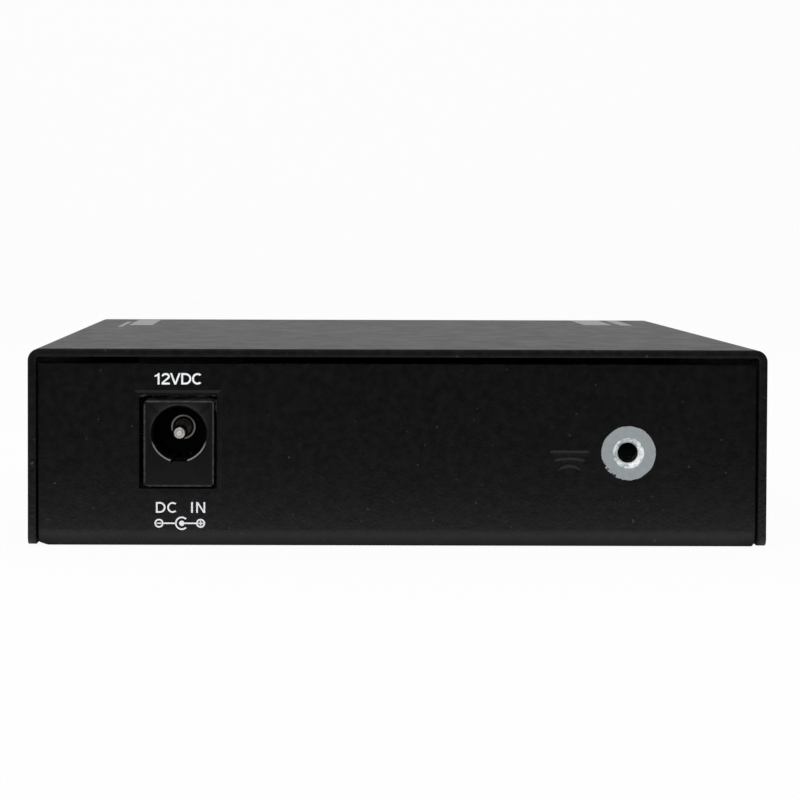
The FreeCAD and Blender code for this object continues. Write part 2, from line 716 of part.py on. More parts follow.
# ---------------------------------------------------------------- fibre module


def fibre_port_centres():
    """X of the two ports."""
    return (FIBRE_X - FIBRE_PORT_PITCH / 2, FIBRE_X + FIBRE_PORT_PITCH / 2)


def fibre_housing():
    """The fibre module's moulding: a nose with two keyed ports and a lower rear body."""
    half = FIBRE_WIDTH / 2
    body_half = half - FIBRE_BODY_STEP
    nose_start = PORT_FACE - FIBRE_NOSE
    top = BOARD_TOP + FIBRE_HEIGHT
    nose = block(FIBRE_X - half, FIBRE_X + half, nose_start, PORT_FACE, BOARD_TOP, top)
    nose = rounded(nose, FIBRE_NOSE_CORNER, lambda c, e: runs_along(e, ALONG_Y))
    body = block(FIBRE_X - body_half, FIBRE_X + body_half, FIBRE_REAR, nose_start,
                 BOARD_TOP, top - FIBRE_BODY_STEP)
    groove = block(FIBRE_X - half, FIBRE_X + half, nose_start - FIBRE_GROOVE_LENGTH, nose_start,
                   top - FIBRE_GROOVE_DEPTH, top + PAST)
    whole = merged([nose, body]).cut(groove)
    key_top = FIBRE_PORT_Z + FIBRE_PORT_HEIGHT / 2 + FIBRE_KEY_HEIGHT
    for x in fibre_port_centres():
        port = block(x - FIBRE_PORT_WIDTH / 2, x + FIBRE_PORT_WIDTH / 2, FIBRE_PORT_FLOOR,
                     PORT_FACE + PAST, FIBRE_PORT_Z - FIBRE_PORT_HEIGHT / 2,
                     FIBRE_PORT_Z + FIBRE_PORT_HEIGHT / 2)
        key = block(x - FIBRE_KEY_WIDTH / 2, x + FIBRE_KEY_WIDTH / 2,
                    FIBRE_PORT_FLOOR + FIBRE_KEY_START, PORT_FACE + PAST, FIBRE_PORT_Z, key_top)
        whole = whole.cut(port).cut(key)
    return whole


def port_tubes(outer, inner, length):
    """A tube on the axis of each port, standing on the port's floor."""
    tubes = []
    for x in fibre_port_centres():
        start = (x, FIBRE_PORT_FLOOR, FIBRE_PORT_Z)
        end = (x, FIBRE_PORT_FLOOR + length, FIBRE_PORT_Z)
        tubes.append(rod(outer, start, end).cut(rod(inner, start, end)))
    return Part.makeCompound(tubes)


def fibre_latches():
    """The clip in each port: a plate against the floor with two hooked arms."""
    clips = []
    plate_end = FIBRE_PORT_FLOOR + CLIP_PLATE
    for x in fibre_port_centres():
        plate = block(x - CLIP_HALF_WIDTH, x + CLIP_HALF_WIDTH, FIBRE_PORT_FLOOR, plate_end,
                      FIBRE_PORT_Z - CLIP_HALF_HEIGHT, FIBRE_PORT_Z + CLIP_HALF_HEIGHT)
        hole = rod(HOLDER_RADIUS, (x, FIBRE_PORT_FLOOR - PAST, FIBRE_PORT_Z),
                   (x, plate_end + PAST, FIBRE_PORT_Z))
        clips.append(merged([plate.cut(hole), clip_arm(x, -1), clip_arm(x, 1)]))
    return Part.makeCompound(clips)


def clip_arm(x, side):
    """One arm of a fibre clip, with its hook pointing at the port's axis."""
    tip = FIBRE_PORT_FLOOR + CLIP_ARM_LENGTH
    outline = [
        (CLIP_ARM_OUTSIDE, FIBRE_PORT_FLOOR),
        (CLIP_ARM_OUTSIDE, tip - CLIP_TIP_SLOPE),
        (CLIP_ARM_OUTSIDE - CLIP_TIP_EDGE, tip),
        (CLIP_HOOK_REACH, tip - CLIP_HOOK_START),
        (CLIP_ARM_INSIDE, tip - CLIP_HOOK_END),
        (CLIP_ARM_INSIDE, FIBRE_PORT_FLOOR),
    ]
    low = FIBRE_PORT_Z - CLIP_ARM_HEIGHT / 2
    points = [FreeCAD.Vector(x + side * out, y, low) for out, y in outline]
    return prism(points, ALONG_Z * CLIP_ARM_HEIGHT)


def fibre_pins():
    """The module's row of nine pins and its two thicker posts, through the board."""
    pins = []
    for pin in range(FIBRE_PINS):
        x = FIBRE_X + (pin - (FIBRE_PINS - 1) / 2) * FIBRE_PIN_PITCH
        pins.append(board_tail(x, FIBRE_PIN_Y))
    for x in (FIBRE_X - FIBRE_POST_X, FIBRE_X + FIBRE_POST_X):
        pins.append(rod(FIBRE_POST_RADIUS, (x, FIBRE_POST_Y, PIN_END), (x, FIBRE_POST_Y, BOARD_TOP)))
    return Part.makeCompound(pins)


def board_tail(x, y):
    """A square tail from a part's underside down through the board."""
    return block(x - HALF_TAIL, x + HALF_TAIL, y - HALF_TAIL, y + HALF_TAIL, PIN_END, BOARD_TOP)


# ---------------------------------------------------------------- mode switches


def lever_centres():
    """X of each switch lever."""
    return [DIP_X + (way - (DIP_WAYS - 1) / 2) * DIP_PITCH for way in range(DIP_WAYS)]


def dip_switch_body():
    """The switch body: a block with a slot for each lever and a wider pocket behind it."""
    half = DIP_WIDTH / 2
    body = block(DIP_X - half, DIP_X + half, DIP_FACE - DIP_DEPTH, DIP_FACE, BOARD_TOP,
                 BOARD_TOP + DIP_HEIGHT)
    slot_half_height = (DIP_LEVER_HEIGHT + DIP_TRAVEL) / 2 + DIP_SLACK
    slot_half_width = DIP_LEVER_WIDTH / 2 + DIP_SLACK
    pocket_half_height = slot_half_height + DIP_POCKET_MARGIN
    pocket_half_width = slot_half_width + DIP_FOOT_MARGIN
    lip_back = DIP_FACE - DIP_LIP
    for x in lever_centres():
        slot = block(x - slot_half_width, x + slot_half_width, lip_back, DIP_FACE + PAST,
                     DIP_CENTRE_Z - slot_half_height, DIP_CENTRE_Z + slot_half_height)
        pocket = block(x - pocket_half_width, x + pocket_half_width, lip_back - DIP_POCKET,
                       lip_back, DIP_CENTRE_Z - pocket_half_height,
                       DIP_CENTRE_Z + pocket_half_height)
        body = body.cut(slot).cut(pocket)
    return body


def dip_lever(x):
    """One lever, down: its stem in the slot and its foot in the pocket behind."""
    z = DIP_CENTRE_Z - DIP_TRAVEL / 2
    foot_front = DIP_FACE - DIP_LIP - DIP_SLACK
    foot_back = DIP_FACE - DIP_LIP - DIP_POCKET + DIP_SLACK
    stem_width = DIP_LEVER_WIDTH / 2
    stem_height = DIP_LEVER_HEIGHT / 2
    foot_width = stem_width + DIP_FOOT_MARGIN
    foot_height = stem_height + DIP_FOOT_MARGIN
    stem = block(x - stem_width, x + stem_width, foot_back, PORT_FACE, z - stem_height,
                 z + stem_height)
    stem = rounded(stem, DIP_LEVER_ROUND,
                   lambda c, e: runs_along(e, ALONG_X) and c.y > PORT_FACE - NEAR)
    foot = block(x - foot_width, x + foot_width, foot_back, foot_front, z - foot_height,
                 z + foot_height)
    return merged([stem, foot])


def dip_terminals():
    """Two rows of tails under the switch body, through the board."""
    return Part.makeCompound([board_tail(x, y) for x in lever_centres() for y in DIP_TAIL_Y])


# ---------------------------------------------------------------- lamps


def lamp_places():
    """X and z of each lamp."""
    return [(x, z) for x in LED_X for z in LED_Z]


def led_lenses():
    """Six round lamps, each a straight body with a domed end."""
    base = FRONT_INSIDE - LED_LENGTH
    profile = quarter_round(LED_RADIUS, -PORT_FACE, LED_DOME_STEPS) + [
        (LED_RADIUS, -base),
        (0, -base),
    ]
    return Part.makeCompound([turned(profile, FreeCAD.Vector(x, 0, z), -ALONG_Y)
                              for x, z in lamp_places()])


def led_holders(lenses):
    """Three upright blocks that hold two lamps each behind the front panel."""
    holders = []
    for x in LED_X:
        holder = block(x - HOLDER_WIDTH / 2, x + HOLDER_WIDTH / 2, HOLDER_BACK, HOLDER_FACE,
                       BOARD_TOP, BOARD_TOP + HOLDER_HEIGHT)
        holder = rounded(holder, HOLDER_EDGE,
                         lambda c, e: runs_along(e, ALONG_X) and c.z > BOARD_TOP + PAST)
        holders.append(holder.cut(lenses))
    return Part.makeCompound(holders)


def led_leads():
    """Two wires for each lamp, from its holder's back down through the board."""
    leads = []
    for x in LED_X:
        for row, z in enumerate(LED_Z):
            out = LEAD_SPREAD + LEAD_ROW_SPREAD * row
            for place in (x - out, x + out):
                leads.append(block(place - HALF_TAIL, place + HALF_TAIL, HOLDER_BACK - LEAD_THICK,
                                   HOLDER_BACK, PIN_END, z))
    return Part.makeCompound(leads)


# ---------------------------------------------------------------- circuit board


def gull_lead(x, y, angle):
    """One flat lead of a chip that leaves its side, bends down and rests on the board."""
    outline = [
        (0, LEAD_SHOULDER),
        (LEAD_REACH * LEAD_KNEE_SHARE, LEAD_SHEET),
        (LEAD_REACH, LEAD_SHEET),
        (LEAD_REACH, 0),
        (LEAD_REACH * LEAD_HEEL_SHARE, 0),
        (0, LEAD_SHOULDER - LEAD_SHEET * 2),
    ]
    points = [FreeCAD.Vector(out, -LEAD_HALF_WIDTH, up) for out, up in outline]
    lead = prism(points, ALONG_Y * 2 * LEAD_HALF_WIDTH)
    lead.rotate(FreeCAD.Vector(0, 0, 0), ALONG_Z, angle)
    lead.translate(FreeCAD.Vector(x, y, BOARD_TOP))
    return lead


def chip_body(x, y, width, length, height):
    """A moulded chip case: a low block with its upper edges broken."""
    case = standing_block(x, y, width, length, BOARD_TOP, height)
    top = BOARD_TOP + height
    return case.makeChamfer(CHIP_EDGE, [e for e in case.Edges if e.CenterOfMass.z > top - NEAR])


def converter_leads():
    """The leads on all four sides of the converter chip."""
    out = CONVERTER_SIDE / 2
    leads = []
    for side in range(4):
        angle = 90.0 * side
        turn = math.radians(angle)
        for number in range(CONVERTER_LEADS):
            along = (number - (CONVERTER_LEADS - 1) / 2) * CONVERTER_PITCH
            x = CONVERTER_X + out * math.cos(turn) - along * math.sin(turn)
            y = CONVERTER_Y + out * math.sin(turn) + along * math.cos(turn)
            leads.append(gull_lead(x, y, angle))
    return Part.makeCompound(leads)


def two_sided_leads(x, y, length, count):
    """Leads on the two long sides of a chip."""
    leads = []
    for side, angle in ((1, 90.0), (-1, 270.0)):
        for number in range(count):
            place = x + (number - (count - 1) / 2) * SMALL_PITCH
            leads.append(gull_lead(place, y + side * length / 2, angle))
    return Part.makeCompound(leads)


def capacitor_cans():
    """Two upright electrolytic cans with the rolled groove near the foot."""
    throat = CAN_RADIUS - CAN_GROOVE_DEPTH
    groove_middle = (CAN_GROOVE_LOW + CAN_GROOVE_HIGH) / 2
    profile = [
        (0, 0),
        (CAN_RADIUS, 0),
        (CAN_RADIUS, CAN_GROOVE_LOW),
        (throat, groove_middle),
        (CAN_RADIUS, CAN_GROOVE_HIGH),
        (CAN_RADIUS, CAN_HEIGHT - CAN_EDGE),
        (CAN_RADIUS - CAN_EDGE, CAN_HEIGHT),
        (0, CAN_HEIGHT),
    ]
    return Part.makeCompound([turned(profile, FreeCAD.Vector(x, y, BOARD_TOP), ALONG_Z)
                              for x, y in CAN_PLACES])


def power_inductor():
    """The square shielded inductor with a round core."""
    x, y = INDUCTOR_X, INDUCTOR_Y
    top = BOARD_TOP + INDUCTOR_HEIGHT
    low = top - INDUCTOR_RING_DEPTH
    base = standing_block(x, y, INDUCTOR_SIDE, INDUCTOR_SIDE, BOARD_TOP, INDUCTOR_HEIGHT)
    base = base.makeChamfer(INDUCTOR_CORNER, [e for e in base.Edges if runs_along(e, ALONG_Z)])
    ring = rod(INDUCTOR_RING, (x, y, low), (x, y, top + PAST))
    core = rod(INDUCTOR_CORE, (x, y, low), (x, y, top + PAST))
    return base.cut(ring.cut(core))


def clock_crystal():
    """The low crystal can with round ends on its foot rim."""
    foot = round_ended(CRYSTAL_LENGTH + 2 * CRYSTAL_RIM, CRYSTAL_WIDTH + 2 * CRYSTAL_RIM,
                       BOARD_TOP, CRYSTAL_FOOT)
    can = round_ended(CRYSTAL_LENGTH, CRYSTAL_WIDTH, BOARD_TOP + CRYSTAL_FOOT,
                      CRYSTAL_HEIGHT - CRYSTAL_FOOT)
    return merged([foot, can])


def round_ended(length, width, low, height):
    """A block over the crystal's place whose two ends are half round."""
    radius = width / 2
    reach = length / 2 - radius
    middle = standing_block(CRYSTAL_X, CRYSTAL_Y, 2 * reach, width, low, height)
    ends = [rod(radius, (CRYSTAL_X + end, CRYSTAL_Y, low), (CRYSTAL_X + end, CRYSTAL_Y, low + height))
            for end in (-reach, reach)]
    return merged([middle] + ends)


def small_blocks(places, size):
    """Chip parts of one size, each a block on the board."""
    length, width, height = size
    return Part.makeCompound([standing_block(x, y, length, width, BOARD_TOP, height)
                              for x, y in places])


def main_board(through_parts):
    """The circuit board, cut for its screws and for every tail that goes through it."""
    board = block(-BOARD_HALF_WIDTH, BOARD_HALF_WIDTH, -BOARD_HALF_LENGTH, BOARD_HALF_LENGTH,
                  BOARD_UNDER, BOARD_TOP)
    for x, y in post_places():
        board = board.cut(rod(BOARD_HOLE, (x, y, 0), (x, y, HEIGHT)))
    for parts in through_parts:
        board = board.cut(parts)
    return board


# ---------------------------------------------------------------- the whole converter


def case_nodes():
    """The folded box and its fasteners."""
    return {
        "cover": cover(),
        "base_tray": base_tray(),
        "cover_screws": cover_screws(),
        "ground_nut": ground_nut(),
        "board_posts": board_posts(),
        "board_screws": board_screws(),
    }


def socket_nodes():
    """Everything that faces a panel, and the board that carries it."""
    pin = dc_jack_pin()
    jack_contacts = dc_jack_contacts()
    wires = rj45_wires()
    shield = rj45_shield()
    module_pins = fibre_pins()
    switch_tails = dip_terminals()
    lenses = led_lenses()
    lamp_leads = led_leads()
    through = [jack_contacts, wires, shield, module_pins, switch_tails, lamp_leads]
    nodes = {
        "main_board": main_board(through),
        "dc_jack_housing": dc_jack_housing(pin, jack_contacts),
        "dc_jack_pin": pin,
        "dc_jack_contacts": jack_contacts,
        "rj45_housing": rj45_housing(wires),
        "rj45_shield": shield,
        "rj45_wires": wires,
        "fibre_housing": fibre_housing(),
        "ferrule_sleeves": port_tubes(SLEEVE_RADIUS, FERRULE, SLEEVE_LENGTH),
        "sleeve_holders": port_tubes(HOLDER_RADIUS, SLEEVE_RADIUS, HOLDER_LENGTH),
        "fibre_latches": fibre_latches(),
        "fibre_pins": module_pins,
        "dip_switch_body": dip_switch_body(),
        "dip_terminals": switch_tails,
        "led_lenses": lenses,
        "led_holders": led_holders(lenses),
        "led_leads": lamp_leads,
    }
    for number, x in enumerate(lever_centres(), start=1):
        nodes[f"dip_lever_{number}"] = dip_lever(x)
    return nodes


def board_nodes():
    """The electronic parts that sit on the board."""
    return {
        "converter_chip": chip_body(CONVERTER_X, CONVERTER_Y, CONVERTER_SIDE, CONVERTER_SIDE,
                                    CHIP_HEIGHT),
        "converter_leads": converter_leads(),
        "magnetics_block": chip_body(MAGNETICS_X, MAGNETICS_Y, MAGNETICS_WIDTH, MAGNETICS_LENGTH,
                                     MAGNETICS_HEIGHT),
        "magnetics_leads": two_sided_leads(MAGNETICS_X, MAGNETICS_Y, MAGNETICS_LENGTH,
                                           MAGNETICS_LEADS),
        "regulator_chip": chip_body(REGULATOR_X, REGULATOR_Y, REGULATOR_WIDTH, REGULATOR_LENGTH,
                                    CHIP_HEIGHT),
        "regulator_leads": two_sided_leads(REGULATOR_X, REGULATOR_Y, REGULATOR_LENGTH,
                                           REGULATOR_LEADS),
        "capacitor_cans": capacitor_cans(),
        "power_inductor": power_inductor(),
        "clock_crystal": clock_crystal(),
        "power_diode": small_blocks(DIODE_PLACES, DIODE_SIZE),
        "chip_capacitors": small_blocks(CAPACITOR_PLACES, CAPACITOR_SIZE),
        "chip_resistors": small_blocks(RESISTOR_PLACES, RESISTOR_SIZE),
    }


def main():
    os.makedirs("parts", exist_ok=True)
    nodes = {**case_nodes(), **socket_nodes(), **board_nodes()}
    for name, shape in nodes.items():
        shape.exportStep(f"parts/{name}.step")
        print(f"{name}: {len(shape.Solids)} solids, {shape.Volume:.1f} mm3, valid {shape.isValid()}")


main()
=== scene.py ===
"""Looks of the fibre media converter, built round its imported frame. All sizes are in metres."""

import json
import math

import bmesh
import bpy
from mathutils import Euler, Matrix, Vector


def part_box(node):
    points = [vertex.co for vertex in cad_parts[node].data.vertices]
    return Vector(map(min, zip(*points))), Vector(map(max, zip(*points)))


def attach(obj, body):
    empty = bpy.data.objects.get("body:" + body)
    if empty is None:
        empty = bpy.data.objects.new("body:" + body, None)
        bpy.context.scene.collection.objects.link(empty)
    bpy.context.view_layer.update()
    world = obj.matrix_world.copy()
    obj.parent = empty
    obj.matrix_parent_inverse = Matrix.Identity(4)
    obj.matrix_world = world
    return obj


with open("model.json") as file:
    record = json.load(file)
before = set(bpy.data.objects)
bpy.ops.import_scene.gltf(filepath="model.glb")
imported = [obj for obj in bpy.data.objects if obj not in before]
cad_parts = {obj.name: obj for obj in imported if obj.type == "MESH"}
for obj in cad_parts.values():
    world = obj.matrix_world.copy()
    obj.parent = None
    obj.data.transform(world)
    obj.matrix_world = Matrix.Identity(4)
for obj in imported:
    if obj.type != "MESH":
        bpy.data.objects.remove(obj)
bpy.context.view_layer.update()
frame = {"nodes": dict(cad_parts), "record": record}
MM = 0.001

NODES = frame["nodes"]
CASE = "case"

# ---------------------------------------------------------------- places, from the frame

TRAY_LOW, TRAY_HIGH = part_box("base_tray")
_, COVER_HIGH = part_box("cover")
JACK_LOW, JACK_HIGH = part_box("dc_jack_housing")
NUT_LOW, NUT_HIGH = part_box("ground_nut")
PIN_LOW, PIN_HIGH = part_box("dc_jack_pin")
SHIELD_LOW, SHIELD_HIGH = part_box("rj45_shield")
PANEL_FACE = TRAY_LOW.y
FRONT_PANEL_FACE = TRAY_HIGH.y
COVER_TOP = COVER_HIGH.z
NUT_X = (NUT_LOW.x + NUT_HIGH.x) / 2
NUT_Z = (NUT_LOW.z + NUT_HIGH.z) / 2
JACK_X = (JACK_LOW.x + JACK_HIGH.x) / 2
JACK_Z = (JACK_LOW.z + JACK_HIGH.z) / 2
PIN_Z = (PIN_LOW.z + PIN_HIGH.z) / 2

# ---------------------------------------------------------------- sizes of the small features

# How thick the sheet and the print are, how near two corners count as one, and how far the sides
# of a drawn line fade.
SHEET = 1.0 * MM
PRINT_DEPTH = 0.02 * MM
SAME_POINT = 0.001 * MM
SOFT_LINE = 0.02 * MM

# The rear panel's outside is what lies less than this behind its face.
FACE_DEPTH = 0.1 * MM

# The earth nut: its hole, the joint between it and the panel, and the bare ring round it.
NUT_HOLE = 1.25 * MM
NUT_JOINT = 1.86 * MM
NUT_JOINT_HALF_WIDTH = 0.05 * MM
BARE_RADIUS = 3.45 * MM
BARE_EDGE_HALF_WIDTH = 0.03 * MM
BARE_EDGE_RAGGED = 0.05 * MM

# Paint is chipped off the ring's lower left: how deep, and where the chips begin and are thickest,
# as the sum of the way across and the way up from the nut's axis.
CHIP_DEPTH = 0.45 * MM
CHIPS_BEGIN = -3.6 * MM
CHIPS_THICK = -4.7 * MM

# The power socket: its bore, and the radii of the pin, its domed tip and the highlight ring painted on
# its collar.
JACK_BORE = 3.45 * MM
PIN_EDGE = 1.03 * MM
TIP_START = 0.76 * MM
TIP_END = 0.55 * MM
TURNED_RING = 0.42 * MM
COLLAR_HIGHLIGHT = 1.5 * MM
COLLAR_HIGHLIGHT_HALF_WIDTH = 0.1 * MM

# Painted highlights on its moulding: a pale line round the lower half of the bore's mouth, as if lit
# from above, which begins and is full this far below the axis and leaves out the groove, and a pale
# line along the outline, which begins and is full this far inside it.
HIGHLIGHT_RADIUS = JACK_BORE + 0.12 * MM
HIGHLIGHT_HALF_WIDTH = 0.08 * MM
HIGHLIGHT_BEGINS = -0.9 * MM
HIGHLIGHT_FULL = -1.6 * MM
GROOVE_SIDE = 1.0 * MM
GROOVE_CLEAR = 1.2 * MM
OUTLINE_HIGHLIGHT_BEGINS = -0.3 * MM
OUTLINE_HIGHLIGHT_FULL = -0.1 * MM

# The opening in the rear panel round the power socket, whose punched edge rolls in a little.
OPENING_X = JACK_X - 0.1 * MM
OPENING_Z = 13.6 * MM
OPENING_HALF_WIDTH = 4.95 * MM
OPENING_HALF_HEIGHT = 6.0 * MM
ROLL_START = 0.62 * MM
ROLL_END = 0.27 * MM

# The earth sign: each bar's half length, height over the floor and drop of its ends.
SIGN_LEFT_OF_NUT = 7.5 * MM
SIGN_STROKE = 0.34 * MM
STAMP_DEPTH = 0.18 * MM
SIGN_BARS = (
    (2.6 * MM, 12.3 * MM, 0.0),
    (2.0 * MM, 11.4 * MM, 0.25 * MM),
    (1.4 * MM, 10.45 * MM, 0.5 * MM),
    (0.3 * MM, 14.4 * MM, 0.0),
)

# ---------------------------------------------------------------- node-tree helpers

# A noise pattern's detail and roughness: smooth for paint and print, rugged for worn surfaces.
SMOOTH = (2.0, 0.5)
RUGGED = (3.0, 0.6)

# Most of a noise pattern's values lie in this range.
NOISE_LOW, NOISE_HIGH = 0.3, 0.7

# The inputs of mix nodes share their names, so they go by number.
MIX_NUMBERS = (2, 3)
MIX_NUMBER_OUT = 0
MIX_COLOURS = (6, 7)
MIX_COLOUR_OUT = 2
MIX_SHADERS = (1, 2)


class Shader:
    """A material under construction: makes nodes and links by short calls."""

    def __init__(self, name):
        self.material = bpy.data.materials.new(name)
        self.material.use_nodes = True
        self.tree = self.material.node_tree
        self.surface = self.tree.nodes["Principled BSDF"]
        self.place = self.add("ShaderNodeTexCoord").outputs["Object"]

    def add(self, kind, **settings):
        """A new node of a kind, with its settings."""
        node = self.tree.nodes.new(kind)
        for key, value in settings.items():
            setattr(node, key, value)
        return node

    def link(self, output, socket):
        self.tree.links.new(output, socket)

    def set(self, **values):
        """Set inputs of the surface, by their names with lines for spaces."""
        for key, value in values.items():
            self.surface.inputs[key.replace("_", " ")].default_value = value

    def parts(self, vector=None):
        """The X, Y and Z of a vector, or else of the place on the object."""
        node = self.add("ShaderNodeSeparateXYZ")
        self.link(vector or self.place, node.inputs["Vector"])
        return node.outputs["X"], node.outputs["Y"], node.outputs["Z"]

    def noise(self, scale, detail=3.0, roughness=0.55):
        """A noise pattern; scale is in cycles a metre."""
        node = self.add("ShaderNodeTexNoise")
        node.inputs["Scale"].default_value = scale
        node.inputs["Detail"].default_value = detail
        node.inputs["Roughness"].default_value = roughness
        self.link(self.place, node.inputs["Vector"])
        return node.outputs["Fac"]

    def cell_edges(self, scale):
        """The distance from the edges of a cell pattern; scale is in cells a metre."""
        node = self.add("ShaderNodeTexVoronoi", feature="DISTANCE_TO_EDGE")
        node.inputs["Scale"].default_value = scale
        self.link(self.place, node.inputs["Vector"])
        return node.outputs["Distance"]

    def spread(self, value, low, high, to_low=0.0, to_high=1.0):
        """A value mapped from one range to another, held inside it."""
        node = self.add("ShaderNodeMapRange")
        for key, number in (("From Min", low), ("From Max", high),
                            ("To Min", to_low), ("To Max", to_high)):
            node.inputs[key].default_value = number
        self.link(value, node.inputs["Value"])
        return node.outputs["Result"]

    def uneven(self, noise, low, high):
        """A noise value mapped to a range."""
        return self.spread(noise, NOISE_LOW, NOISE_HIGH, low, high)

    def math(self, operation, first, second=None):
        """A sum of one or two numbers or number outputs."""
        node = self.add("ShaderNodeMath", operation=operation)
        for socket, value in zip(node.inputs, (first, second)):
            if value is None:
                continue
            if isinstance(value, (int, float)):
                socket.default_value = value
            else:
                self.link(value, socket)
        return node.outputs["Value"]

    def blend(self, factor, first, second):
        """A colour between two colours or colour outputs."""
        node = self.add("ShaderNodeMix", data_type="RGBA")
        self.link(factor, node.inputs["Factor"])
        for index, value in zip(MIX_COLOURS, (first, second)):
            if isinstance(value, tuple):
                node.inputs[index].default_value = (*value, 1.0)
            else:
                self.link(value, node.inputs[index])
        return node.outputs[MIX_COLOUR_OUT]

    def bump(self, height, distance, strength, under=None):
        """A bump of the given height in metres, over another bump if one is given."""
        node = self.add("ShaderNodeBump")
        node.inputs["Strength"].default_value = strength
        node.inputs["Distance"].default_value = distance
        self.link(height, node.inputs["Height"])
        if under is not None:
            self.link(under, node.inputs["Normal"])
        return node.outputs["Normal"]

    def either(self, factor, first, second):
        """A number between two numbers or number outputs."""
        node = self.add("ShaderNodeMix", data_type="FLOAT")
        self.link(factor, node.inputs["Factor"])
        for index, value in zip(MIX_NUMBERS, (first, second)):
            if isinstance(value, float):
                node.inputs[index].default_value = value
            else:
                self.link(value, node.inputs[index])
        return node.outputs[MIX_NUMBER_OUT]

    def colour(self, output):
        self.link(output, self.surface.inputs["Base Color"])

    def roughness(self, output):
        self.link(output, self.surface.inputs["Roughness"])

    def normal(self, output):
        self.link(output, self.surface.inputs["Normal"])


# ---------------------------------------------------------------- materials

# The powder coat's patterns, in cycles a metre, and how much brighter its few bright grains are.
GRAIN_SCALE = 2200.0
MOTTLE_SCALE = 950.0
UNEVEN_SCALE = 300.0
BRIGHT_GRAIN_SCALE = 1250.0
BRIGHT_GRAIN_GAIN = 6.0
EDGE_SAMPLES = 6

# The darker and the lighter tone of the black moulded plastic.
SOCKET_BLACKS = ((0.0025, 0.0025, 0.0027), (0.0045, 0.0045, 0.005))


def powder_coat(name, base, speck, grain_height, edge_radius):
    """Fine wrinkled black powder coat: small grains on a slow unevenness, a few of them bright."""
    coat = Shader(name)
    mottle = coat.noise(MOTTLE_SCALE, *SMOOTH)
    broad = coat.noise(UNEVEN_SCALE, *RUGGED)
    paint = coat.blend(coat.spread(mottle, 0.35, 0.68), base, speck)
    bright = coat.spread(coat.noise(BRIGHT_GRAIN_SCALE, detail=1.0, roughness=0.5), 0.735, 0.79)
    coat.paint = coat.blend(bright, paint, tuple(BRIGHT_GRAIN_GAIN * part for part in speck))
    coat.rough = coat.uneven(broad, 0.40, 0.48)
    coat.grain = coat.noise(GRAIN_SCALE, *SMOOTH)
    edges = coat.add("ShaderNodeBevel", samples=EDGE_SAMPLES)
    edges.inputs["Radius"].default_value = edge_radius
    slow = coat.bump(broad, 0.10 * MM, 0.5, edges.outputs["Normal"])
    coat.slow = coat.bump(mottle, 0.9 * grain_height, 0.7, slow)
    coat.set(IOR=1.5, Specular_IOR_Level=0.42)
    return coat


def cover_paint():
    """The cover's coat, thick enough to round its cut edges."""
    grain_height = 0.12 * MM
    coat = powder_coat("cover_paint", base=(0.003, 0.003, 0.003), speck=(0.007, 0.007, 0.0066),
                       grain_height=grain_height, edge_radius=0.7 * MM)
    coat.colour(coat.paint)
    coat.roughness(coat.rough)
    coat.normal(coat.bump(coat.grain, grain_height, 0.9, coat.slow))
    return coat.material


def panel_paint():
    """The tray's coat, with bare zinc round the earth nut and the earth sign stamped beside it."""
    grain_height = 0.05 * MM
    coat = powder_coat("panel_paint", base=(0.0018, 0.0018, 0.002), speck=(0.0045, 0.0045, 0.005),
                       grain_height=grain_height, edge_radius=0.12 * MM)
    bare = bare_ring(coat)
    zinc = coat.blend(coat.noise(1500.0, *SMOOTH), (0.33, 0.365, 0.375), (0.42, 0.455, 0.465))
    radius, _, _ = radius_from(coat, NUT_X, NUT_Z)
    # A dark line painted round the nut where it meets the panel: painted shade in the crevice.
    joint_shade = band(coat, radius, NUT_JOINT, NUT_JOINT_HALF_WIDTH, SOFT_LINE)
    zinc = coat.blend(joint_shade, zinc, (0.05, 0.055, 0.06))
    coat.colour(coat.blend(bare, coat.paint, zinc))
    coat.roughness(coat.either(bare, coat.rough, 0.6))
    coat.link(coat.math("MULTIPLY", bare, 0.3), coat.surface.inputs["Metallic"])
    pressed = coat.math("MAXIMUM", earth_sign(coat), rolled_edge(coat))
    stamped = coat.bump(pressed, STAMP_DEPTH, 1.0, coat.slow)
    stamped.node.invert = True
    painted = coat.math("SUBTRACT", 1.0, bare)
    height = coat.math("MULTIPLY", coat.grain, painted)
    coat.normal(coat.bump(height, grain_height, 0.8, stamped))
    return coat.material


def earth_sign(coat):
    """1 in the stamped lines of the earth sign and 0 outside them, on the rear panel only."""
    x, y, z = coat.parts()
    across = coat.math("SUBTRACT", x, NUT_X - SIGN_LEFT_OF_NUT)
    from_middle = coat.math("ABSOLUTE", across)
    bent = coat.math("MULTIPLY", across, across)
    sign = None
    for half_length, level, drop in SIGN_BARS:
        curve = coat.math("MULTIPLY", bent, drop / half_length ** 2)
        above = coat.math("SUBTRACT", coat.math("ADD", z, curve), level)
        line = coat.spread(coat.math("ABSOLUTE", above), SIGN_STROKE, 0.0)
        ends = coat.spread(from_middle, half_length, half_length - SIGN_STROKE)
        bar = coat.math("MULTIPLY", line, ends)
        sign = bar if sign is None else coat.math("MAXIMUM", sign, bar)
    return coat.math("MULTIPLY", sign, on_rear_face(coat, y))


def on_rear_face(coat, y):
    """1 on the rear panel's outside, 0 elsewhere."""
    return coat.math("LESS_THAN", y, PANEL_FACE + FACE_DEPTH)


def rolled_edge(coat):
    """0 on the panel, rising to 1 at the edge of the power socket's opening, which is rolled inwards."""
    x, _, z = coat.parts()
    across = coat.math("SUBTRACT", x, OPENING_X)
    up = coat.math("SUBTRACT", z, OPENING_Z)
    past_side = coat.math("SUBTRACT", coat.math("ABSOLUTE", across), OPENING_HALF_WIDTH)
    past_top = coat.math("SUBTRACT", coat.math("ABSOLUTE", up), OPENING_HALF_HEIGHT)
    outward = coat.math("MAXIMUM", past_side, past_top)
    return coat.spread(outward, ROLL_START, ROLL_END)


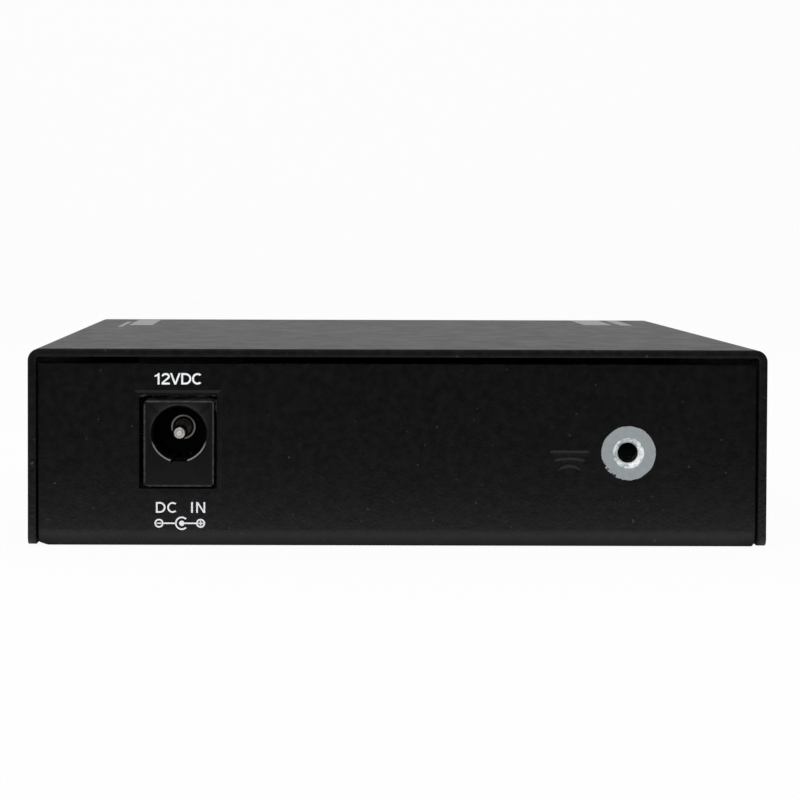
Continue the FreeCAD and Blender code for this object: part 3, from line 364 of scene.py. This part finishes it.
def bare_ring(coat):
    """1 on the bare ring round the earth nut, 0 on the paint, with a chipped lower left edge."""
    radius, across, up = radius_from(coat, NUT_X, NUT_Z)
    low_left = coat.math("ADD", across, up)
    facing = coat.spread(low_left, CHIPS_BEGIN, CHIPS_THICK)
    flecks = coat.spread(coat.noise(2600.0, *RUGGED), 0.50, 0.60)
    nick = coat.math("MULTIPLY", coat.math("MULTIPLY", facing, flecks), CHIP_DEPTH)
    ragged = coat.uneven(coat.noise(900.0, *RUGGED), -BARE_EDGE_RAGGED, BARE_EDGE_RAGGED)
    edge = coat.math("ADD", coat.math("ADD", radius, ragged), nick)
    ring = coat.spread(edge, BARE_RADIUS + BARE_EDGE_HALF_WIDTH, BARE_RADIUS - BARE_EDGE_HALF_WIDTH)
    _, y, _ = coat.parts()
    return coat.math("MULTIPLY", ring, on_rear_face(coat, y))


def metal(name, base, light, roughness):
    """A bare metal with faint uneven tone and fine marks."""
    made = Shader(name)
    tone = made.noise(900.0, *RUGGED)
    made.colour(made.blend(tone, base, light))
    made.roughness(made.uneven(tone, roughness - 0.06, roughness + 0.08))
    marks = made.noise(3500.0, *SMOOTH)
    made.normal(made.bump(marks, 0.004 * MM, 0.4))
    made.set(Metallic=1.0)
    return made.material


def plastic(name, base, light, roughness, grain_height=0.006 * MM):
    """A moulded plastic with faint mottling and a fine moulded grain."""
    made = Shader(name)
    tone = made.noise(700.0)
    made.colour(made.blend(tone, base, light))
    made.roughness(made.uneven(tone, roughness - 0.04, roughness + 0.06))
    marks = made.noise(4200.0, *SMOOTH)
    made.normal(made.bump(marks, grain_height, 0.6))
    made.set(IOR=1.5)
    return made.material


def board_mask():
    """Green solder mask with paler tracks under it; the cut edges show bare laminate, painted near black
    as shade.
    """
    made = Shader("circuit_board")
    tracks = made.spread(made.cell_edges(520.0), 0.02, 0.06)
    mask = made.blend(tracks, (0.018, 0.11, 0.042), (0.007, 0.055, 0.022))
    _, _, upward = made.parts(made.add("ShaderNodeNewGeometry").outputs["Normal"])
    level = made.math("GREATER_THAN", made.math("ABSOLUTE", upward), 0.7)
    # Faces that are not level, the cut edges, are painted near black: painted shade where the board
    # shows in the gap under the power socket.
    made.colour(made.blend(level, (0.010, 0.010, 0.006), mask))
    made.roughness(made.uneven(made.noise(500.0), 0.28, 0.4))
    made.normal(made.bump(tracks, 0.02 * MM, 0.4))
    return made.material


def radius_from(made, axis_x, axis_z):
    """A point's distance from an axis along Y, and how far across and up it is from there."""
    x, _, z = made.parts()
    across = made.math("SUBTRACT", x, axis_x)
    up = made.math("SUBTRACT", z, axis_z)
    squares = made.math("ADD", made.math("MULTIPLY", across, across), made.math("MULTIPLY", up, up))
    return made.math("SQRT", squares), across, up


def band(made, value, middle, half_width, soft):
    """1 where a value is within half a width of a middle, 0 outside, with soft edges."""
    away = made.math("ABSOLUTE", made.math("SUBTRACT", value, middle))
    return made.spread(away, half_width + soft, half_width - soft)


def socket_pin():
    """The power socket's plated pin; its collar is painted dark as shade, but for a bright painted
    highlight ring.
    """
    made = Shader("socket_pin")
    radius, _, _ = radius_from(made, JACK_X, PIN_Z)
    # A bright ring painted on the collar: painted highlight.
    ring = band(made, radius, COLLAR_HIGHLIGHT, COLLAR_HIGHLIGHT_HALF_WIDTH, SOFT_LINE)
    pin = made.math("LESS_THAN", radius, PIN_EDGE)
    tip = made.spread(radius, TIP_START, TIP_END)
    turned = band(made, radius, TURNED_RING, 0.05 * MM, 2 * SOFT_LINE)
    tone = made.noise(1800.0, *RUGGED)
    plating = made.blend(tone, (0.62, 0.60, 0.55), (0.97, 0.94, 0.88))
    # The collar's near black is painted shade in the bore; its bright ring is painted highlight.
    shaded_collar = made.blend(ring, (0.02, 0.018, 0.014), (0.97, 0.93, 0.84))
    plating = made.blend(turned, plating, (0.22, 0.21, 0.19))
    made.colour(made.blend(pin, shaded_collar, plating))
    made.link(made.either(tip, 1.0, 0.45), made.surface.inputs["Metallic"])
    made.roughness(made.either(pin, 0.12, made.uneven(tone, 0.18, 0.34)))
    made.normal(made.bump(tone, 0.03 * MM, 0.5))
    return made.material


def socket_moulding():
    """The power socket's black plastic: matt in the bore, with pale painted highlights along its edges.
    """
    made = Shader("socket_moulding")
    radius, across, up = radius_from(made, JACK_X, PIN_Z)
    mottle = made.noise(1400.0, *RUGGED)
    bore_highlight = painted_bore_highlight(made, radius, across, up)
    outline = made.math("MULTIPLY", painted_outline_highlight(made, across, up),
                        made.spread(mottle, 0.35, 0.6, 0.35, 1.0))
    painted_highlight = made.math("MAXIMUM", bore_highlight, made.math("MULTIPLY", outline, 0.2))
    inside = made.spread(radius, JACK_BORE + 0.03 * MM, JACK_BORE + 0.01 * MM)
    black = made.blend(mottle, *SOCKET_BLACKS)
    # The pale colour is painted highlight along the bore's lower edge and along the outline.
    made.colour(made.blend(painted_highlight, black, (0.26, 0.26, 0.275)))
    made.roughness(made.either(inside, 0.38, 0.75))
    made.link(made.either(inside, 0.5, 0.2), made.surface.inputs["Specular IOR Level"])
    made.normal(made.bump(made.noise(4200.0, *SMOOTH), 0.006 * MM, 0.6))
    made.set(IOR=1.5)
    return made.material


def painted_bore_highlight(made, radius, across, up):
    """1 on the painted highlight along the lower edge of the bore's mouth, but for the groove at its
    bottom.
    """
    edge = band(made, radius, HIGHLIGHT_RADIUS, HIGHLIGHT_HALF_WIDTH, SOFT_LINE)
    below = made.spread(up, HIGHLIGHT_BEGINS, HIGHLIGHT_FULL)
    beside_groove = made.spread(made.math("ABSOLUTE", across), GROOVE_SIDE, GROOVE_CLEAR)
    return made.math("MULTIPLY", made.math("MULTIPLY", edge, below), beside_groove)


def painted_outline_highlight(made, across, up):
    """1 on the painted highlight along the outline of the moulding's face; across and up are from the
    pin.
    """
    from_middle = made.math("ABSOLUTE", made.math("ADD", up, PIN_Z - JACK_Z))
    to_side = made.math("SUBTRACT", made.math("ABSOLUTE", across), JACK_HIGH.x - JACK_X)
    to_end = made.math("SUBTRACT", from_middle, (JACK_HIGH.z - JACK_LOW.z) / 2)
    return made.spread(made.math("MAXIMUM", to_side, to_end), OUTLINE_HIGHLIGHT_BEGINS, OUTLINE_HIGHLIGHT_FULL)


def nut_steel():
    """The earth nut's plating: a bright frosted countersink round a threaded hole painted dark as shade.
    """
    made = Shader("nut_steel")
    radius, _, _ = radius_from(made, NUT_X, NUT_Z)
    tone = made.noise(1300.0, *RUGGED)
    # The threaded hole is painted near black: painted shade inside it.
    shaded_hole = made.math("LESS_THAN", radius, NUT_HOLE + 0.04 * MM)
    plating = made.blend(made.spread(tone, 0.4, 0.6), (0.40, 0.47, 0.50), (0.97, 0.98, 0.97))
    made.colour(made.blend(shaded_hole, plating, (0.02, 0.02, 0.02)))
    made.roughness(made.uneven(tone, 0.24, 0.4))
    made.normal(made.bump(tone, 0.05 * MM, 0.6))
    made.set(Metallic=0.2)
    return made.material


def lamp_lens():
    """Tinted clear lamp resin with faint flow marks."""
    made = Shader("lamp_lens")
    tone = made.noise(600.0, *SMOOTH)
    made.colour(made.blend(tone, (0.32, 0.62, 0.30), (0.45, 0.75, 0.40)))
    made.roughness(made.uneven(tone, 0.08, 0.16))
    made.set(IOR=1.5, Transmission_Weight=0.45)
    return made.material


def print_ink(name, base):
    """Screen-printed ink, slightly uneven."""
    made = Shader(name)
    tone = made.noise(2500.0, *SMOOTH)
    darker = tuple(0.9 * part for part in base)
    made.colour(made.blend(tone, darker, base))
    made.roughness(made.uneven(tone, 0.5, 0.62))
    return made.material


MATERIALS = {
    "cover_paint": cover_paint(),
    "panel_paint": panel_paint(),
    "black_screws": metal("black_screws", (0.02, 0.02, 0.02), (0.035, 0.035, 0.035), 0.42),
    "plated_steel": metal("plated_steel", (0.66, 0.68, 0.68), (0.82, 0.84, 0.84), 0.24),
    "circuit_board": board_mask(),
    "black_plastic": plastic("black_plastic", *SOCKET_BLACKS, 0.36),
    "nickel_pin": metal("nickel_pin", (0.62, 0.60, 0.55), (0.78, 0.76, 0.70), 0.22),
    "nickel_sheet": metal("nickel_sheet", (0.52, 0.51, 0.48), (0.68, 0.67, 0.64), 0.3),
    "gold_contacts": metal("gold_contacts", (0.80, 0.56, 0.20), (0.92, 0.70, 0.32), 0.24),
    "module_plastic": plastic("module_plastic", (0.018, 0.02, 0.024), (0.03, 0.033, 0.038), 0.42),
    "white_ceramic": plastic("white_ceramic", (0.78, 0.77, 0.72), (0.88, 0.87, 0.83), 0.2,
                             grain_height=0.001 * MM),
    "clip_plastic": plastic("clip_plastic", (0.08, 0.14, 0.28), (0.12, 0.2, 0.36), 0.4),
    "switch_plastic": plastic("switch_plastic", (0.02, 0.09, 0.34), (0.03, 0.13, 0.44), 0.4),
    "lever_plastic": plastic("lever_plastic", (0.74, 0.74, 0.70), (0.85, 0.85, 0.82), 0.38),
    "lamp_lens": lamp_lens(),
    "chip_plastic": plastic("chip_plastic", (0.018, 0.018, 0.019), (0.03, 0.03, 0.032), 0.55,
                            grain_height=0.01 * MM),
    "aluminium_can": metal("aluminium_can", (0.66, 0.67, 0.68), (0.80, 0.81, 0.82), 0.28),
    "ferrite": plastic("ferrite", (0.05, 0.05, 0.053), (0.09, 0.09, 0.095), 0.6,
                       grain_height=0.012 * MM),
    "chip_ceramic": plastic("chip_ceramic", (0.36, 0.25, 0.14), (0.50, 0.37, 0.24), 0.5),
}
WHITE_INK = print_ink("white_ink", (0.86, 0.87, 0.90))
GREY_INK = print_ink("grey_ink", (0.36, 0.36, 0.355))
OWN_LOOKS = {
    "dc_jack_pin": socket_pin(),
    "dc_jack_housing": socket_moulding(),
    "ground_nut": nut_steel(),
    # The network socket's shield is painted dark: painted shade inside the box, seen through the gap
    # over the rear panel.
    "rj45_shield": metal("shaded_tin", (0.22, 0.22, 0.21), (0.30, 0.30, 0.29), 0.45),
}

# How wide the edges of the small pieces are rounded.
EDGE_WIDTHS = {
    "dc_jack_housing": 0.14 * MM,
    "ground_nut": 0.04 * MM,
    "fibre_housing": 0.12 * MM,
    "rj45_housing": 0.08 * MM,
    "dip_switch_body": 0.08 * MM,
    "led_holders": 0.08 * MM,
}


def dress_nodes():
    """Give each node its own look or its slot's material, and round the small pieces' edges."""
    for part in frame["record"]["subparts"]:
        name = part["node"]
        node = NODES[name]
        node.data.materials.clear()
        node.data.materials.append(OWN_LOOKS.get(name, MATERIALS[part["material_slot"]]))
        if name in EDGE_WIDTHS:
            soften(node, EDGE_WIDTHS[name])


def soften(piece, width):
    """Weld the piece's faces and round its sharp edges."""
    weld = piece.modifiers.new("weld", "WELD")
    weld.merge_threshold = 0.0005 * MM
    edge = piece.modifiers.new("edges", "BEVEL")
    edge.width = width
    edge.segments = 4
    edge.limit_method = "ANGLE"
    edge.angle_limit = math.radians(50)
    edge.use_clamp_overlap = False
    edge.harden_normals = False
    even = piece.modifiers.new("shading", "WEIGHTED_NORMAL")
    even.keep_sharp = False


# ---------------------------------------------------------------- printed marks and foam

# Each letter has its left and right side. Each print has its base line, its letters' height and
# the width of their strokes.
VOLTAGE_LETTERS = (
    ("1", -30.90 * MM, -30.29 * MM),
    ("2", -30.03 * MM, -28.98 * MM),
    ("V", -28.96 * MM, -27.62 * MM),
    ("D", -27.53 * MM, -26.25 * MM),
    ("C", -26.16 * MM, -24.83 * MM),
)
INPUT_LETTERS = (
    ("D", -30.74 * MM, -29.52 * MM),
    ("C", -29.29 * MM, -27.99 * MM),
    ("I", -26.25 * MM, -26.03 * MM),
    ("N", -25.60 * MM, -24.46 * MM),
)
PRINTS = (
    ("print_voltage", VOLTAGE_LETTERS, 20.93 * MM, 1.46 * MM, 0.245 * MM),
    ("print_power_in", INPUT_LETTERS, 4.54 * MM, 1.37 * MM, 0.205 * MM),
)

# The foam behind the front panel: where its back is, and its play to the cover's side.
FOAM_BACK = FRONT_PANEL_FACE - SHEET - 0.5 * MM
FOAM_DEPTH = 0.45 * MM
FOAM_WIDTH = 0.9 * MM
FOAM_PLAY = 0.02 * MM

# The bars on the cover's top, each from x to x and from y to y, in millimetres.
TOP_BARS = (
    (-41.2, -40.5, 13.0, 27.0),
    (-39.9, -36.2, 17.5, 33.5),
    (33.1, 37.6, 21.0, 34.0),
    (38.9, 40.8, 20.0, 34.0),
)


def mesh_piece(name, shape, material):
    """A piece of the case from a finished bmesh."""
    mesh = bpy.data.meshes.new(name)
    shape.to_mesh(mesh)
    shape.free()
    piece = bpy.data.objects.new(name, mesh)
    bpy.context.scene.collection.objects.link(piece)
    piece.data.materials.append(material)
    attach(piece, CASE)


def new_face(shape, corners):
    """A flat face through the corners."""
    shape.faces.new([shape.verts.new(corner) for corner in corners])


def arc(centre, radii, start, end, steps=14):
    """Points along part of an ellipse, from one angle to another, in degrees."""
    points = []
    for step in range(steps + 1):
        angle = math.radians(start + (end - start) * step / steps)
        points.append((centre[0] + radii[0] * math.cos(angle), centre[1] + radii[1] * math.sin(angle)))
    return points


def ribbon(outer, inner):
    """Faces between two lines of points, side by side."""
    pairs = list(zip(outer, inner))
    return [(a[0], b[0], b[1], a[1]) for a, b in zip(pairs, pairs[1:])]


def letter_faces(letter, wide, high):
    """Flat faces of a bold letter in a box of side 1; wide and high are its stroke's shares."""
    if letter == "1":
        return [[(1, 0), (1, 1), (1 - 0.7 * wide, 1), (0.42, 0.87), (0, 0.81), (0, 0.66),
                 (0.35, 0.69), (1 - wide, 0.77), (1 - wide, 0)]]
    if letter == "2":
        top = 0.70
        outer = arc((0.5, top), (0.5, 1 - top), 175, -38)
        inner = arc((0.5, top), (0.5 - wide, 1 - top - high), 175, -38)
        foot = [(1.2 * wide, high), (0, high)]
        base = [(0, 0), (1, 0), (1, high), (1.2 * wide, high), (0, high)]
        return ribbon(outer + foot[:1], inner + foot[1:]) + [base]
    if letter == "V":
        outer = [(0, 1), (0.5 - 0.5 * wide, 0), (0.5 + 0.5 * wide, 0), (1, 1)]
        inner = [(wide, 1), (0.5, 1.3 * high), (0.5, 1.3 * high), (1 - wide, 1)]
        return ribbon(outer, inner)
    if letter == "D":
        outer = arc((0.42, 0.5), (0.58, 0.5), -90, 90) + [(0, 1), (0, 0), (0.42, 0)]
        inner = arc((0.42, 0.5), (0.58 - wide, 0.5 - high), -90, 90)
        inner += [(wide, 1 - high), (wide, high), (0.42, high)]
        return ribbon(outer, inner)
    if letter == "C":
        return ribbon(arc((0.52, 0.5), (0.52, 0.5), 45, 315, 24),
                      arc((0.52, 0.5), (0.52 - wide, 0.5 - high), 52, 308, 24))
    if letter == "N":
        reach = 1.1 * wide
        return [[(0, 0), (0, 1), (reach, 1), (1 - wide, 1.4 * high), (1 - wide, 1), (1, 1),
                 (1, 0), (1 - reach, 0), (wide, 1 - 1.4 * high), (wide, 0)]]
    return [[(0, 0), (1, 0), (1, 1), (0, 1)]]


def printed_letters(name, letters, base, height, stroke):
    """Letters printed on the rear panel: each has its left and right side, all one base line."""
    shape = bmesh.new()
    for letter, left, right in letters:
        width = right - left
        for face in letter_faces(letter, stroke / width, stroke / height):
            corners = []
            for across, up in face:
                point = Vector((left + across * width, PANEL_FACE, base + up * height))
                if point not in corners:
                    corners.append(point)
            new_face(shape, corners)
    bmesh.ops.remove_doubles(shape, verts=list(shape.verts), dist=SAME_POINT)
    thicken(shape, Vector((0, -PRINT_DEPTH, 0)))
    mesh_piece(name, shape, WHITE_INK)


def thicken(shape, step):
    """Give flat faces a thickness, and make all faces point outwards."""
    made = bmesh.ops.extrude_face_region(shape, geom=list(shape.faces))
    moved = [item for item in made["geom"] if isinstance(item, bmesh.types.BMVert)]
    bmesh.ops.translate(shape, verts=moved, vec=step)
    bmesh.ops.recalc_face_normals(shape, faces=list(shape.faces))


def ring_faces(shape, x, z, inner, outer, start=0.0, sweep=360.0, steps=40):
    """A flat ring, or part of one, on the rear panel."""
    rows = []
    for step in range(steps + 1):
        angle = math.radians(start + sweep * step / steps)
        out = Vector((math.cos(angle), 0, math.sin(angle)))
        centre = Vector((x, PANEL_FACE, z))
        rows.append((shape.verts.new(centre + out * inner), shape.verts.new(centre + out * outer)))
    for before, after in zip(rows, rows[1:]):
        shape.faces.new((before[0], before[1], after[1], after[0]))
    bmesh.ops.remove_doubles(shape, verts=list(shape.verts), dist=SAME_POINT)


def bar_faces(shape, x_low, x_high, z_low, z_high):
    """A flat bar on the rear panel."""
    corners = [(x_low, z_low), (x_high, z_low), (x_high, z_high), (x_low, z_high)]
    new_face(shape, [(x, PANEL_FACE, z) for x, z in corners])


def polarity_mark():
    """The usual plug polarity sign: minus outside, plus on the pin."""
    level = 3.2 * MM
    minus_x = JACK_X - 2.5 * MM
    cup_x = JACK_X + 0.41 * MM
    plus_x = JACK_X + 2.81 * MM
    ring = 0.57 * MM
    line = 0.095 * MM
    thin = line * 0.8
    arm = 0.3 * MM
    cup_inner, cup_outer = 0.66 * MM, 0.86 * MM
    dot = 0.34 * MM
    line_to_cup, line_from_dot = 0.82 * MM, 0.32 * MM
    shape = bmesh.new()
    for x in (minus_x, plus_x):
        ring_faces(shape, x, level, ring - 0.2 * MM, ring)
        bar_faces(shape, x - arm, x + arm, level - thin, level + thin)
    bar_faces(shape, plus_x - thin, plus_x + thin, level + line, level + arm)
    bar_faces(shape, plus_x - thin, plus_x + thin, level - arm, level - line)
    ring_faces(shape, cup_x, level, cup_inner, cup_outer, start=45.0, sweep=270.0)
    ring_faces(shape, cup_x, level, 0.0, dot)
    bar_faces(shape, minus_x + ring, cup_x - line_to_cup, level - line, level + line)
    bar_faces(shape, cup_x + line_from_dot, plus_x - ring, level - line, level + line)
    thicken(shape, Vector((0, -PRINT_DEPTH, 0)))
    mesh_piece("polarity_mark", shape, WHITE_INK)


def top_bars():
    """Plain printed bars on the cover's top, near its front edge, two thirds sunk into it."""
    shape = bmesh.new()
    for x_low, x_high, y_low, y_high in TOP_BARS:
        corners = [(x_low, y_low), (x_high, y_low), (x_high, y_high), (x_low, y_high)]
        new_face(shape, [(x * MM, y * MM, COVER_TOP - PRINT_DEPTH) for x, y in corners])
    thicken(shape, Vector((0, 0, PRINT_DEPTH * 1.5)))
    mesh_piece("top_bars", shape, GREY_INK)


def front_gaskets():
    """Thin foam behind the front panel: a frame round the network socket and a strip at each side."""
    low = JACK_LOW.z
    shape = bmesh.new()
    rows = []
    for x, z, out_x, out_z in (
        (SHIELD_LOW.x, low, -1, -1),
        (SHIELD_HIGH.x, low, 1, -1),
        (SHIELD_HIGH.x, SHIELD_HIGH.z, 1, 1),
        (SHIELD_LOW.x, SHIELD_HIGH.z, -1, 1),
    ):
        inner = shape.verts.new((x, FOAM_BACK, z))
        outer = shape.verts.new((x + out_x * FOAM_WIDTH, FOAM_BACK, z + out_z * FOAM_WIDTH))
        rows.append((inner, outer))
    for before, after in zip(rows, rows[1:] + rows[:1]):
        shape.faces.new((before[0], before[1], after[1], after[0]))
    for side in (-1, 1):
        edge = side * (COVER_HIGH.x - SHEET - FOAM_PLAY)
        inner = edge - side * FOAM_WIDTH
        corners = [(inner, low), (edge, low), (edge, TRAY_HIGH.z), (inner, TRAY_HIGH.z)]
        new_face(shape, [(x, FOAM_BACK, z) for x, z in corners])
    thicken(shape, Vector((0, FOAM_DEPTH, 0)))
    mesh_piece("front_gaskets", shape, MATERIALS["chip_plastic"])


# ---------------------------------------------------------------- stage, light and camera

# The floor reaches this far to each side and to the front, and the backdrop stands on its rear edge.
FLOOR = 1.2
BACKDROP_Y = 0.7
BACKDROP_HEIGHT = 0.8

# How white the stage and the surround look, and how light the backdrop is in reflections.
WHITE_SHARE = 0.95
BACKDROP_LEVEL = 0.76

# In reflections the floor's glow is a painted pool of light that fades over the pool's width, by a power
# of the distance, to a far share of its light. It has painted shade where the object is nearer than the
# shade's reach.
POOL_WIDTH = 0.055
POOL_FADE = 3.0
POOL_FAR_SHARE = 0.12
POOL_SHADE_REACH = 0.003

# How strong the surround is on matt surfaces and in reflections.
SURROUND_LEVEL = 0.25
SURROUND_GLOSSY_LEVEL = 0.06

# All lamps face this point. Each has a name, a place, a size and a power, and shows in
# reflections or doesn't.
LAMP_TARGET = (0, 0, 0)
LAMPS = (
    ("overhead", (0, -0.02, 0.6), 0.6, 1.5, True),
    ("front", (-0.2, -0.6, 0.3), 0.5, 3.0, False),
    ("left", (-0.6, 0.1, 0.25), 0.5, 0.8, True),
    ("right", (0.6, 0.1, 0.25), 0.5, 0.8, True),
)

# The camera's place, how it is turned, and its lens and shift.
CAMERA_PLACE = (-11.39 * MM, -241.38 * MM, 40.37 * MM)
CAMERA_PITCH = math.radians(1.25)
CAMERA_YAW = math.radians(0.065)
CAMERA_ROLL = math.radians(0.158)
CAMERA_LENS = 73.24
CAMERA_SHIFT = (0.1123, -0.1654)
CAMERA_CLIP_START = 0.01


def stage_plane(name, corners, glossy_level):
    """A pale plane that keeps the shadow, looks white to the camera and glows in reflections."""
    mesh = bpy.data.meshes.new(name)
    mesh.from_pydata(corners, [], [tuple(range(len(corners)))])
    plane = bpy.data.objects.new(name, mesh)
    bpy.context.scene.collection.objects.link(plane)
    made = Shader(name)
    made.set(Base_Color=(0.82, 0.82, 0.82, 1.0), Roughness=0.9, Specular_IOR_Level=0.0)
    path = made.add("ShaderNodeLightPath")
    mirrored = path.outputs["Is Glossy Ray"]
    seen = made.math("MAXIMUM", path.outputs["Is Camera Ray"], path.outputs["Is Transmission Ray"])
    seen = made.math("MULTIPLY", seen, WHITE_SHARE)
    glow = made.add("ShaderNodeEmission")
    glow.inputs["Color"].default_value = (1.0, 1.0, 1.0, 1.0)
    made.link(made.either(mirrored, 1.0, glossy_level(made)), glow.inputs["Strength"])
    mix = made.add("ShaderNodeMixShader")
    made.link(made.math("MAXIMUM", seen, mirrored), mix.inputs["Fac"])
    for index, shader in zip(MIX_SHADERS, (made.surface.outputs["BSDF"], glow.outputs["Emission"])):
        made.link(shader, mix.inputs[index])
    output = made.tree.nodes["Material Output"]
    made.link(mix.outputs["Shader"], output.inputs["Surface"])
    plane.data.materials.append(made.material)


def pool_of_white(made):
    """The floor's glow in reflections, a painted pool of light: white at the object's foot, soon darker
    farther off, with painted shade near the object.
    """
    x, y, _ = made.parts()
    past_side = made.math("SUBTRACT", made.math("ABSOLUTE", x), COVER_HIGH.x)
    past_end = made.math("SUBTRACT", made.math("ABSOLUTE", y), COVER_HIGH.y)
    near = made.spread(made.math("MAXIMUM", past_side, past_end), 0.0, POOL_WIDTH, 1.0, 0.0)
    share = made.either(made.math("POWER", near, POOL_FADE), POOL_FAR_SHARE, 1.0)
    shade = made.add("ShaderNodeAmbientOcclusion")
    shade.inputs["Distance"].default_value = POOL_SHADE_REACH
    return made.math("MULTIPLY", share, shade.outputs["AO"])


def even_white(_made):
    """The backdrop in reflections: the same all over."""
    return BACKDROP_LEVEL


def stage():
    """The floor, and the backdrop behind it."""
    stage_plane("floor", [(-FLOOR, -FLOOR, 0), (FLOOR, -FLOOR, 0), (FLOOR, BACKDROP_Y, 0),
                          (-FLOOR, BACKDROP_Y, 0)], pool_of_white)
    stage_plane("backdrop", [(-FLOOR, BACKDROP_Y, 0), (FLOOR, BACKDROP_Y, 0),
                             (FLOOR, BACKDROP_Y, BACKDROP_HEIGHT),
                             (-FLOOR, BACKDROP_Y, BACKDROP_HEIGHT)], even_white)


def world_light():
    """A plain surround: dim, white to the eye, and dark in reflections, as an unlit room is."""
    world = bpy.data.worlds.new("surround")
    world.use_nodes = True
    bpy.context.scene.world = world
    tree = world.node_tree
    light = tree.nodes["Background"]
    light.inputs["Color"].default_value = (1.0, 1.0, 1.0, 1.0)
    path = tree.nodes.new("ShaderNodeLightPath")
    number_from, number_to = MIX_NUMBERS
    before = None
    for rays, strength in (("Is Glossy Ray", SURROUND_GLOSSY_LEVEL), ("Is Camera Ray", WHITE_SHARE)):
        change = tree.nodes.new("ShaderNodeMix")
        change.data_type = "FLOAT"
        tree.links.new(path.outputs[rays], change.inputs["Factor"])
        change.inputs[number_to].default_value = strength
        if before is None:
            change.inputs[number_from].default_value = SURROUND_LEVEL
        else:
            tree.links.new(before, change.inputs[number_from])
        before = change.outputs[MIX_NUMBER_OUT]
    tree.links.new(before, light.inputs["Strength"])


def area_light(name, place, size, power, mirrored):
    """A square soft light that faces the target, and shows in reflections or doesn't."""
    data = bpy.data.lights.new(name, "AREA")
    data.size = size
    data.energy = power
    lamp = bpy.data.objects.new(name, data)
    bpy.context.scene.collection.objects.link(lamp)
    lamp.location = place
    lamp.rotation_euler = (Vector(LAMP_TARGET) - Vector(place)).to_track_quat("-Z", "Y").to_euler()
    lamp.visible_glossy = mirrored


def camera():
    """The view from behind the box, a little above it and left of its middle."""
    data = bpy.data.cameras.new("camera")
    data.lens = CAMERA_LENS
    data.shift_x, data.shift_y = CAMERA_SHIFT
    data.clip_start = CAMERA_CLIP_START
    view = bpy.data.objects.new("camera", data)
    bpy.context.scene.collection.objects.link(view)
    view.location = CAMERA_PLACE
    turn = Euler((math.radians(90) - CAMERA_PITCH, 0, -CAMERA_YAW), "XYZ").to_matrix()
    view.rotation_euler = (turn @ Matrix.Rotation(CAMERA_ROLL, 3, "Z")).to_euler()
    bpy.context.scene.camera = view


# ---------------------------------------------------------------- the whole

dress_nodes()
for one_print in PRINTS:
    printed_letters(*one_print)
polarity_mark()
top_bars()
front_gaskets()
stage()
world_light()
for lamp_row in LAMPS:
    area_light(*lamp_row)
camera()

bpy.context.scene.view_settings.view_transform = "Standard"
